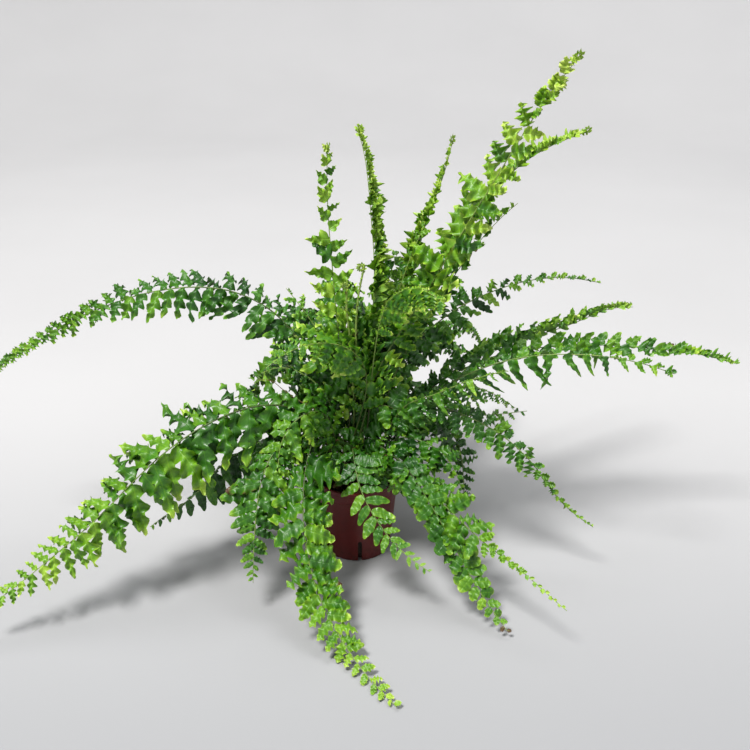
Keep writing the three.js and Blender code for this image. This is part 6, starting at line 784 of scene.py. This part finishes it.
    ("frond_back_04","A",(0.137,-0.253,0.958),24,0.212,16,10,0.25,0.5,0,1,"-4.6,11.3,50;-4.8,12,59;-5.1,12.6,68;-5.4,13.3,76.9;-5.8,14.4,85.9;-6.4,15.9,94.7;-7.4,18.2,103.4;-8.7,21.3,111.7;-10.3,25.1,119.7;-12.3,29.8,127.1;-14.7,35.3,133.8;-17.5,41.6,139.6;-20.7,48.7,144.2;-24.2,56.4,147.2;-28,64.4,148.6;-31.9,72.5,148.4;-35.8,80.5,146.8;-39.7,88.1,144;-43.4,95.3,140.2;-47.1,102.1,135.5;-50.6,108.4,130.2;-53.9,114.3,124.2;-57.2,119.7,117.8;-60.3,124.7,111;-63.3,129.4,103.9;-66.2,133.7,96.6;-69.2,137.7,89;-72.1,141.5,81.4;-75,145.1,73.7;-77.9,148.5,65.8;-80.7,151.9,58"),
    ("frond_back_05","B",(0.194,-0.212,0.958),22,0.212,16,10,0.25,0.5,0,1,"-9.9,12.6,50;-10.4,13.3,58.8;-11.1,14.2,67.6;-12.1,15.5,76.4;-13.9,17.8,84.7;-16.6,21.1,92.5;-19.9,25.3,99.6;-23.8,30.2,105.9;-28.3,35.6,111.2;-33.4,41.7,115.2;-38.8,48.2,117.8;-44.6,54.9,118.4;-50.4,61.5,117;-56,67.6,113.9;-61.2,73.2,109.3;-65.9,78.1,103.7;-70.3,82.4,97.3;-74.3,86.2,90.4;-78.1,89.6,83.1;-81.6,92.6,75.5;-85,95.4,67.8;-88.3,98.1,60"),
    ("frond_back_06","E",(-0.091,-0.272,0.958),20,0.212,16,10,0.45,0.5,0,1,"3.5,7.6,49.9;3.8,8.2,58.9;4,8.7,68.1;3.9,9,77.2;3.9,9.3,86.4;3.9,9.6,95.5;4.3,10.2,104.6;4.9,11.5,113.7;5.9,13.5,122.6;7.1,16.2,131.2;8.6,19.6,139.5;10.4,24,147.4;12.5,29.2,154.6;14.9,35.3,160.9;17.7,42.4,166;20.7,50.4,169.3;23.7,58.8,170.9;26.7,67.5,170.7;29.6,76,168.9;32.1,84.1,165.7;34.4,91.9,161.4;36.4,99.2,156.3;38.1,106.1,150.5;39.6,112.7,144.3;41,119.1,138"),
    ("frond_back_07","A",(0.037,-0.285,0.958),21,0.212,16,10,0.45,0.5,0,1,"-2.3,7.9,50;-2.5,8.5,59;-2.6,9,68.1;-2.6,9.1,77.1;-2.6,9.1,86.1;-2.7,9.3,95.2;-2.9,10,104.2;-3.2,11.2,113.1;-3.7,13,122;-4.3,15.4,130.7;-5,18.3,139.3;-5.9,21.8,147.5;-6.9,26.1,155.4;-8.1,31.4,162.6;-9.4,38,168.7;-10.9,45.9,172.7;-12.3,54.6,174.7;-13.7,63.5,174.5;-14.8,72.2,172.5;-15.6,80.5,169;-16.1,88.3,164.4;-16.3,95.5,159;-16.4,102.2,152.9;-16.3,108.6,146.5;-16.1,114.9,140"),
    ("frond_back_08","C",(-0.214,-0.192,0.958),18,0.212,16,10,0.15,0.5,0,1,"11.9,10.7,50;12.6,11.3,58.8;13.3,11.7,67.5;14.6,12.5,76.2;17.3,15.1,84.1;21.3,19,90.9;26.3,23.6,96.5;32,28.8,100.7;38.2,34.4,103.1;44.8,40.3,103.6;51.1,46,101.6;56.9,51.2,97.5;61.9,55.7,91.9;66.1,59.5,85.1;69.6,62.6,77.6;72.8,65.6,70"),
    ("frond_back_09","E",(0.226,-0.177,0.958),18,0.212,16,10,0.15,0.5,0,1,"-9.6,7.5,50;-10.4,8.1,59.1;-11.3,8.8,68.2;-12.5,9.8,77.2;-14.6,11.4,85.9;-17.7,13.9,94.2;-21.7,16.9,101.9;-26.4,20.6,108.8;-31.9,25,114.6;-38.3,29.9,118.8;-45.3,35.4,121;-52.5,41,120.5;-59.3,46.3,117.6;-65.2,50.9,112.4;-69.9,54.6,105.5;-74.1,57.9,98"),
    ("frond_back_10","A",(-0.023,-0.286,0.958),20,0.212,16,10,0.1,0.5,0,1,"2.2,15.8,50;2.4,17.1,58.8;2.7,19.4,67.4;3.3,23.3,75.3;4,29.1,82;5,36.3,87.2;6,44.3,90.8;7,53,92.6;8,61.8,92.4;8.9,70.4,90.4;9.6,78.5,86.6;10.3,85.8,81.7;10.8,92.6,76;11.2,99,69.7;11.6,104.8,63;11.8,110.2,55.9;11.9,115.4,48.7;12,120.2,41.2;11.9,124.8,33.5;11.8,129.2,25.8;11.7,133.5,18"),
    ("frond_back_11","B",(0.091,-0.273,0.958),20,0.212,16,10,0.1,0.5,0,1,"-6.3,14.7,50;-6.8,16,59.1;-7.7,18.2,68;-9.3,22.1,76.2;-11.7,27.7,83.1;-14.5,34.6,88.5;-17.6,42.4,92.3;-20.9,50.8,94.2;-24.1,59.4,94;-27.2,67.8,91.7;-30,75.7,87.7;-32.4,82.9,82.5;-34.5,89.4,76.3;-36.3,95.4,69.6;-37.9,100.9,62.3;-39.1,105.9,54.6;-40.2,110.5,46.7;-41,114.8,38.6;-41.7,118.9,30.3;-42.3,122.9,22"),
]

# ------------------------------------------------------------------ pot, soil and crown
POT_H, RIM_R, COLLAR, BASE_R, WALL, FLOOR = 58.0, 30.0, 8.0, 23.5, 0.95, 1.5
SOIL_TOP, CROWN_R, CROWN_TOP = 47.5, 18.0, 49.3
COLLAR_Z = POT_H - COLLAR


def wall_radius(z):
    return BASE_R + (RIM_R - 1.5 - BASE_R) * z / COLLAR_Z


def inner_radius(z):
    return wall_radius(min(z, COLLAR_Z)) - WALL + (0.5 if z > COLLAR_Z else 0.0)


def pot_material():
    m, nt, out = new_material("pot_plastic")
    g = N(nt)
    co = g.obj()
    big = g.noise(co, 38.0, 3.0, 0.6)
    mid = g.noise(co, 210.0, 4.0, 0.65)
    grain = g.noise(co, 2600.0, 2.0, 0.5)
    z = g.split(co)[2]
    col = g.ramp(
        g.math("ADD", g.math("MULTIPLY", big, 0.6), g.math("MULTIPLY", mid, 0.4)),
        [(0.25, (0.070, 0.0046, 0.0040)), (0.5, (0.105, 0.0078, 0.0062)), (0.8, (0.145, 0.0150, 0.0115))],
    )
    # damp soil dust near the underside and round the slits
    dust = g.math("MULTIPLY", g.step(z, 0.002, 0.016, 1.0, 0.0), g.step(mid, 0.42, 0.68))
    col = g.mix(g.math("MULTIPLY", dust, 0.75), col, (0.030, 0.019, 0.013))
    specks = g.node("ShaderNodeTexVoronoi")
    g.link(co, specks.inputs["Vector"])
    specks.inputs["Scale"].default_value = 420.0
    sp = g.math("MULTIPLY", g.step(specks.outputs["Distance"], 0.04, 0.12, 1.0, 0.0), g.step(big, 0.5, 0.62))
    col = g.mix(g.math("MULTIPLY", sp, 0.5), col, (0.35, 0.26, 0.22))
    p = g.node("ShaderNodeBsdfPrincipled")
    g.link(col, p.inputs["Base Color"])
    rough = g.math("ADD", g.step(mid, 0.3, 0.7, 0.34, 0.50), g.math("MULTIPLY", dust, 0.3))
    g.link(rough, p.inputs["Roughness"])
    h = g.math("ADD", g.math("MULTIPLY", grain, 0.4), g.math("MULTIPLY", mid, 0.6))
    g.link(g.bump(h, 0.25, 0.0004), p.inputs["Normal"])
    p.inputs["Specular IOR Level"].default_value = 0.38
    g.link(p.outputs[0], out.inputs[0])
    return m


def soil_material():
    m, nt, out = new_material("potting_soil")
    g = N(nt)
    co = g.obj()
    a = g.noise(co, 260.0, 5.0, 0.7)
    b = g.noise(co, 1300.0, 4.0, 0.7)
    col = g.ramp(
        g.math("ADD", g.math("MULTIPLY", a, 0.55), g.math("MULTIPLY", b, 0.45)),
        [(0.30, (0.0065, 0.0040, 0.0028)), (0.52, (0.022, 0.0130, 0.0085)), (0.68, (0.060, 0.036, 0.022)), (0.85, (0.13, 0.085, 0.055))],
    )
    p = g.node("ShaderNodeBsdfPrincipled")
    g.link(col, p.inputs["Base Color"])
    g.link(g.step(a, 0.3, 0.7, 0.72, 0.97), p.inputs["Roughness"])
    g.link(g.bump(b, 0.8, 0.0010), p.inputs["Normal"])
    g.link(p.outputs[0], out.inputs[0])
    return m


def bit_material(name, stops, rough):
    m, nt, out = new_material(name)
    g = N(nt)
    co = g.obj()
    a = g.noise(co, 900.0, 4.0, 0.7)
    col = g.ramp(a, stops)
    p = g.node("ShaderNodeBsdfPrincipled")
    g.link(col, p.inputs["Base Color"])
    g.link(g.step(a, 0.3, 0.7, rough - 0.1, rough + 0.08), p.inputs["Roughness"])
    g.link(g.bump(a, 0.6, 0.0006), p.inputs["Normal"])
    g.link(p.outputs[0], out.inputs[0])
    return m


POT = pot_material()
SOIL = soil_material()
PERLITE = bit_material("perlite", [(0.3, (0.42, 0.38, 0.32)), (0.7, (0.74, 0.71, 0.66))], 0.85)
BARK = bit_material("bark", [(0.3, (0.030, 0.013, 0.006)), (0.55, (0.085, 0.040, 0.018)), (0.8, (0.17, 0.092, 0.045))], 0.85)


def lathe(name, prof, seg, mats):
    """A closed turned body from a profile of (radius, height) in mm that starts and ends on the axis."""
    prof = np.array(prof, float) * MM
    ring = prof[1:-1]
    a = np.arange(seg) / seg * 2 * math.pi
    V = np.stack([ring[:, None, 0] * np.cos(a), ring[:, None, 0] * np.sin(a), np.repeat(ring[:, 1][:, None], seg, 1)], -1).reshape(-1, 3)
    V = np.vstack([V, [[0, 0, prof[0, 1]]], [[0, 0, prof[-1, 1]]]])
    n = len(ring)
    F, S = [], []
    j = np.arange(seg)
    j2 = (j + 1) % seg
    for i in range(n - 1):
        F.append(np.stack([i * seg + j, i * seg + j2, (i + 1) * seg + j2, (i + 1) * seg + j], -1).ravel())
        S += [4] * seg
    c0, c1 = n * seg, n * seg + 1
    F.append(np.stack([np.full(seg, c0), j2, j], -1).ravel())
    S += [3] * seg
    k = (n - 1) * seg
    F.append(np.stack([np.full(seg, c1), k + j, k + j2], -1).ravel())
    S += [3] * seg
    return mesh_object(name, V, np.concatenate(F), S, mats)


def round_profile(pts, radii, n=5):
    """Rounds the inner corners of a profile with small arcs."""
    out = [pts[0]]
    for i in range(1, len(pts) - 1):
        p, a, b = np.array(pts[i], float), np.array(pts[i - 1], float), np.array(pts[i + 1], float)
        r = radii.get(i, 0.18)
        la, lb = np.linalg.norm(a - p), np.linalg.norm(b - p)
        r = min(r, la * 0.45, lb * 0.45)
        pa, pb = p + (a - p) / la * r, p + (b - p) / lb * r
        for k in range(n):
            f = k / (n - 1)
            out.append(tuple((1 - f) ** 2 * pa + 2 * f * (1 - f) * p + f * f * pb))
    out.append(pts[-1])
    return out


def cut_boxes(ob, boxes):
    """Cuts rounded slots through a body with exact booleans. boxes: azimuth, width, height, low z, low r, high r in mm."""
    for az, w, hi, lo, r0, r1 in boxes:
        seg = 10
        prof = [(-w / 2, lo), (w / 2, lo)]
        for k in range(seg + 1):
            f = math.pi * k / seg
            prof.append((w / 2 * math.cos(f), hi - w / 2 + w / 2 * math.sin(f)))
        n = len(prof)
        V = [(r0 * MM, x * MM, z * MM) for x, z in prof] + [(r1 * MM, x * MM, z * MM) for x, z in prof]
        ca, sa = math.cos(math.radians(az)), math.sin(math.radians(az))
        V = [(x * ca - y * sa, x * sa + y * ca, z) for x, y, z in V]
        F = [list(range(n))[::-1], [n + i for i in range(n)]] + [[i, (i + 1) % n, n + (i + 1) % n, n + i] for i in range(n)]
        me = bpy.data.meshes.new("cutter")
        me.from_pydata(V, [], F)
        import bmesh

        bm = bmesh.new()
        bm.from_mesh(me)
        bmesh.ops.recalc_face_normals(bm, faces=bm.faces)
        bm.to_mesh(me)
        bm.free()
        cutter = bpy.data.objects.new("cutter", me)
        bpy.context.scene.collection.objects.link(cutter)
        mod = ob.modifiers.new("cut", "BOOLEAN")
        mod.operation = "DIFFERENCE"
        mod.solver = "EXACT"
        mod.object = cutter
        bpy.context.view_layer.objects.active = ob
        bpy.ops.object.modifier_apply(modifier=mod.name)
        bpy.data.objects.remove(cutter)
        bpy.data.meshes.remove(me)


pot_profile = [
    (0, 0), (9, 0), (9.7, 0.6), (17.2, 0.6), (17.9, 0), (BASE_R - 0.5, 0), (BASE_R, 0.6),
    (wall_radius(COLLAR_Z - 0.8), COLLAR_Z - 0.8), (RIM_R - 0.8, COLLAR_Z), (RIM_R - 0.5, POT_H - 2.2),
    (RIM_R, POT_H - 1.7), (RIM_R, POT_H - 0.1), (RIM_R - 0.1, POT_H), (RIM_R - 1.6, POT_H), (RIM_R - 1.75, POT_H - 0.3),
    (inner_radius(COLLAR_Z + 0.4), COLLAR_Z + 0.4), (inner_radius(COLLAR_Z - 1.2), COLLAR_Z - 1.2),
    (inner_radius(FLOOR + 1.0), FLOOR + 1.0), (inner_radius(FLOOR) - 0.9, FLOOR), (0, FLOOR),
]
pot = lathe("nursery_pot", round_profile(pot_profile, {5: 0.3, 6: 0.4, 7: 0.5, 8: 0.4, 9: 0.3, 10: 0.3, 11: 0.5, 12: 0.5, 13: 0.5, 14: 0.3, 16: 0.5}), 144, [POT])
slits = []
for i in range(6):
    slits.append((-84 + 60 * i, 2.8, 17.0, -1.5, 19.4, 30.0))
cut_boxes(pot, slits)
pot.data.set_sharp_from_angle(angle=math.radians(34))
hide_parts("pot")
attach(pot, "root")


def value_noise(p, scale, seed):
    """Smooth noise from sums of fixed sine waves, the same on every run."""
    r = np.random.default_rng(seed)
    k = r.normal(0, 1, (10, 3)) * scale
    ph = r.uniform(0, 6.28, 10)
    return np.sin(p @ k.T + ph).sum(1) / 4.5


def soil_piece():
    seg, V, F, S, M = 110, [], [], [], []
    rim = inner_radius(SOIL_TOP) - 0.45
    prof = [(inner_radius(FLOOR) - 1.6, FLOOR + 0.35), (inner_radius(5) - 0.3, 5.0)]
    for z in np.linspace(7, 45.5, 30):
        prof.append((inner_radius(z) - 0.3, z))
    prof.append((rim, SOIL_TOP - 0.8))
    for r in np.linspace(rim - 0.5, 1.2, 42):
        prof.append((r, SOIL_TOP - 0.1 + (1.1 * smoothstep(CROWN_R + 3.5, CROWN_R - 0.5, np.array(r)) if r < 99 else 0)))
    prof = np.array(prof) * MM
    a = np.arange(seg) / seg * 2 * math.pi
    P = np.stack([prof[:, None, 0] * np.cos(a), prof[:, None, 0] * np.sin(a), np.repeat(prof[:, 1][:, None], seg, 1)], -1)
    topside = np.arange(len(prof)) >= 33
    Q = P.reshape(-1, 3)
    bump = 0.45 * value_noise(Q, 500, 3) + 0.35 * value_noise(Q, 1400, 4) + 0.22 * value_noise(Q, 3600, 5)
    bump = bump.reshape(len(prof), seg)
    P[topside, :, 2] += bump[topside] * 0.9 * MM
    inward = unit(P * np.array([1, 1, 0.0]))
    P[1:33] -= inward[1:33] * (0.25 + 0.5 * np.abs(bump[1:33, :, None])) * MM * 0.8
    V = np.vstack([P.reshape(-1, 3), [[0, 0, (FLOOR + 0.35) * MM]], [[0, 0, (SOIL_TOP + 0.9) * MM]]])
    n = len(prof)
    j = np.arange(seg)
    j2 = (j + 1) % seg
    F = [np.stack([i * seg + j, i * seg + j2, (i + 1) * seg + j2, (i + 1) * seg + j], -1).ravel() for i in range(n - 1)]
    S = [4] * seg * (n - 1) + [3] * seg * 2
    F.append(np.stack([np.full(seg, n * seg), j2, j], -1).ravel())
    F.append(np.stack([np.full(seg, n * seg + 1), (n - 1) * seg + j, (n - 1) * seg + j2], -1).ravel())
    M = [0] * len(S)
    rng = np.random.default_rng(77)
    # crumbs of peat, perlite and bark pressed into the surface
    ico = []
    import bmesh

    bm = bmesh.new()
    bmesh.ops.create_icosphere(bm, subdivisions=2, radius=1.0)
    iv = np.array([v.co[:] for v in bm.verts])
    bm.faces.ensure_lookup_table()
    jf = np.array([[v.index for v in f.verts] for f in bm.faces])
    bm.free()
    base = len(V)
    allV, allF = [V], list(F)
    for k in range(300):
        r = math.sqrt(rng.uniform((CROWN_R - 1.0) ** 2, (rim - 0.9) ** 2))
        an = rng.uniform(0, 2 * math.pi)
        kind = 0 if k < 215 else (1 if k < 245 else 2)
        size = rng.uniform(0.35, 1.1) if kind == 0 else (rng.uniform(0.5, 1.25) if kind == 1 else rng.uniform(0.8, 1.7))
        sc = np.array([1, rng.uniform(0.6, 1), rng.uniform(0.5, 0.9)]) if kind < 2 else np.array([1.2, rng.uniform(0.35, 0.55), 0.3])
        lump = 1 + 0.22 * value_noise(iv * 1.0 + k, 2.2, 900 + k)[:, None]
        w = iv * lump * sc * size
        e = rng.uniform(0, 2 * math.pi)
        tl = rng.normal(0, 0.3)
        Rz = np.array([[math.cos(e), -math.sin(e), 0], [math.sin(e), math.cos(e), 0], [0, 0, 1]])
        Rx = np.array([[1, 0, 0], [0, math.cos(tl), -math.sin(tl)], [0, math.sin(tl), math.cos(tl)]])
        w = w @ Rx.T @ Rz.T
        z0 = SOIL_TOP + 0.15 + 1.1 * float(smoothstep(CROWN_R + 3.5, CROWN_R - 0.5, np.array(r))) + size * sc[2] * 0.2
        rr = min(r, rim - 0.6 - size)
        w = w + np.array([rr * math.cos(an), rr * math.sin(an), z0])
        allV.append(w * MM)
        allF.append((jf + base).ravel())
        S += [3] * len(jf)
        M += [kind] * len(jf)
        base += len(w)
    ob = mesh_object("soil_surface", np.vstack(allV), np.concatenate(allF), S, [SOIL, PERLITE, BARK], M)
    return ob


soil = soil_piece()
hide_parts("potting_soil")
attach(soil, "root")


def crown_piece():
    rng = np.random.default_rng(55)
    b = Build()
    # the body: a lumpy low dome
    seg, n = 64, 22
    rr = np.linspace(CROWN_R - 0.4, 0.6, n)
    a = np.arange(seg) / seg * 2 * math.pi
    z = 48.0 + 1.6 * np.sqrt(np.clip(1 - (rr / CROWN_R) ** 2, 0, 1))
    P = np.stack([rr[:, None] * np.cos(a), rr[:, None] * np.sin(a), np.repeat(z[:, None], seg, 1)], -1)
    lump = value_noise(P.reshape(-1, 3), 0.55, 8).reshape(n, seg) * 0.7 + value_noise(P.reshape(-1, 3), 1.6, 9).reshape(n, seg) * 0.35
    P[..., 2] += lump
    skirt = P[:1].copy()
    skirt[..., 2] = 43.0
    skirt[..., :2] *= 0.97
    P = np.concatenate([skirt, P]) * MM
    n += 1
    V = np.vstack([P.reshape(-1, 3), [[0, 0, 43.0 * MM]], [[0, 0, (49.8) * MM]]])
    j = np.arange(seg)
    j2 = (j + 1) % seg
    F = [np.stack([i * seg + j, i * seg + j2, (i + 1) * seg + j2, (i + 1) * seg + j], -1).ravel() for i in range(n - 1)]
    S = [4] * seg * (n - 1) + [3] * seg * 2
    F.append(np.stack([np.full(seg, n * seg), j2, j], -1).ravel())
    F.append(np.stack([np.full(seg, n * seg + 1), (n - 1) * seg + j, (n - 1) * seg + j2], -1).ravel())
    b.v.append(V)
    b.f.append(np.concatenate(F))
    b.s.append(np.array(S))
    b.m.append(np.zeros(len(S), int))
    b.sharp.append(np.zeros(len(V), bool))
    b.tone.append(np.tile([[0.1, 0.15, 0.0]], (len(V), 1)))
    b.leaf.append(np.zeros((len(V), 3)))
    b.under.append(np.zeros(len(S)))
    # flat map: one disc for the top, one for the underside
    polar = np.concatenate([np.full(1, CROWN_R + 5.5), rr])
    uvr = polar[:, None]
    U = np.stack([CROWN_R + 6 + uvr * np.cos(a), CROWN_R + 6 + uvr * np.sin(a)], -1).reshape(-1, 2)
    U = np.vstack([U, [[CROWN_R + 6] * 2], [[CROWN_R + 6] * 2]])
    big = np.concatenate(F[:-2] + [F[-1]])
    b.cells.append((2 * CROWN_R + 12, 2 * CROWN_R + 12, None))
    under = F[-2]
    loops = []
    for f in F[:-2]:
        loops.append(U[f])
    u2 = U[under]
    loops_under = u2 * 0.95
    loops.append(loops_under)
    loops.append(U[F[-1]])
    b.cells[-1] = (2 * CROWN_R + 12, 2 * CROWN_R + 12, np.concatenate(loops[:-2]))
    b.cells.append((2 * CROWN_R + 12, 2 * CROWN_R + 12, loops[-2]))
    top_fan = loops[-1]
    b.cells.append((4, 4, (top_fan - top_fan.min(0)) / np.maximum(np.ptp(top_fan, axis=0), 1e-6) * 3.5))
    b.n = len(V)
    # papery scales all over it
    cnt = 900
    r = CROWN_R * np.sqrt(rng.uniform(0, 1, cnt)) * 0.98
    an = rng.uniform(0, 2 * math.pi, cnt)
    zz = 48.0 + 1.6 * np.sqrt(np.clip(1 - (r / CROWN_R) ** 2, 0, 1))
    X = np.stack([r * np.cos(an), r * np.sin(an), zz + 0.1], 1) * MM
    out = np.stack([np.cos(an), np.sin(an), np.zeros(cnt)], 1)
    lean = unit(out * (r / CROWN_R)[:, None] * 0.9 + np.array([0, 0, 1.0]) + rng.normal(0, 0.35, (cnt, 3)))
    sidev = unit(np.cross(lean, rng.normal(0, 1, (cnt, 3))))
    upv = np.cross(lean, sidev)
    sl = rng.uniform(0.0022, 0.0048, cnt)
    z0 = np.zeros(cnt)
    scale_style = dict(STYLES["D"], teeth=1, depth=0.0, falc=0.0, ear=0.0, bend=0.25)
    pinnae(b, scale_style, rng, X, sidev, upv, lean, np.ones(cnt), sl, sl * 0.12, z0, z0, rng.normal(0, 0.3, cnt), z0 + 0.3, z0, 5, 3, mat=0, thick=0.10)
    return b.make("crown_scales_piece", [SCALE])


crown = crown_piece()
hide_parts("crown")
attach(crown, "root")

# ------------------------------------------------------------------ the fronds themselves
for index, spec in enumerate(FRONDS):
    ob = frond(spec, index)
    node = spec[0]
    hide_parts(node)
    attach(ob, "root")

# ------------------------------------------------------------------ floor, backdrop and light


def floor_material():
    m, nt, out = new_material("studio_floor")
    g = N(nt)
    co = g.obj()
    n = g.noise(co, 3.0, 3.0, 0.5)
    # painted shade: the floor is painted darker towards the camera and up the curved wall, a painted fall-off of the
    # light; far is its evenly lit tone
    near = g.math("MULTIPLY", g.step(g.split(co)[1], -0.32, 0.28, 1.0, 0.0), g.step(g.split(co)[1], -1.3, -0.6))
    high = g.step(g.split(co)[2], 0.05, 1.4)
    far = g.ramp(n, [(0.3, (0.468, 0.467, 0.474)), (0.7, (0.488, 0.487, 0.494))])
    painted_shade = g.math("ADD", g.math("MULTIPLY", near, 1.0), g.math("MULTIPLY", high, 0.55), clamp=True)
    col = g.mix(painted_shade, far, (0.300, 0.305, 0.318))
    p = g.node("ShaderNodeBsdfPrincipled")
    g.link(col, p.inputs["Base Color"])
    p.inputs["Roughness"].default_value = 0.85
    p.inputs["Specular IOR Level"].default_value = 0.2
    g.link(p.outputs[0], out.inputs[0])
    return m


def sweep():
    """Seamless paper all round: a round floor that curves up into a low wall far from the plant."""
    prof = [(0.02, 0.0), (0.3, 0.0), (0.7, 0.0), (1.1, 0.0)]
    r, y0 = 1.6, 1.5
    for k in range(33):
        f = math.pi / 2 * k / 32
        prof.append((y0 + r * math.sin(f), r - r * math.cos(f)))
    prof.append((y0 + r, 2.3))
    seg = 128
    a = np.arange(seg) / seg * 2 * math.pi
    V = np.array([(q * math.cos(t), q * math.sin(t), z) for q, z in prof for t in a] + [(0.0, 0.0, 0.0)])
    j = np.arange(seg)
    j2 = (j + 1) % seg
    F = [np.stack([np.full(seg, len(V) - 1), j, j2], -1).ravel()]
    S = [3] * seg
    for i in range(len(prof) - 1):
        F.append(np.stack([i * seg + j, (i + 1) * seg + j, (i + 1) * seg + j2, i * seg + j2], -1).ravel())
        S += [4] * seg
    return mesh_object("studio_ground", V, np.concatenate(F), S, [floor_material()])


ground = sweep()

world = bpy.data.worlds.new("studio")
bpy.context.scene.world = world
world.use_nodes = True
bg = world.node_tree.nodes["Background"]
bg.inputs[0].default_value = (0.97, 0.98, 1.0, 1)
bg.inputs[1].default_value = 0.13


def area(name, loc, target, size, power, color=(1, 1, 1)):
    d = bpy.data.lights.new(name, "AREA")
    d.shape = "DISK"
    d.size = size
    d.energy = power
    d.color = color
    ob = bpy.data.objects.new(name, d)
    bpy.context.scene.collection.objects.link(ob)
    ob.location = loc
    from mathutils import Vector

    ob.rotation_euler = (Vector(target) - Vector(loc)).to_track_quat("-Z", "Y").to_euler()
    return ob


area("key", (-1.0, -1.05, 3.0), (0, 0, 0.12), 0.85, 149.0, (1.0, 0.985, 0.96))
area("fill", (1.6, -0.9, 1.8), (0, 0, 0.12), 1.2, 9.0, (0.97, 0.99, 1.0))
area("wall", (0.6, 1.1, 3.0), (0.4, 2.1, 0.3), 2.0, 58.0)
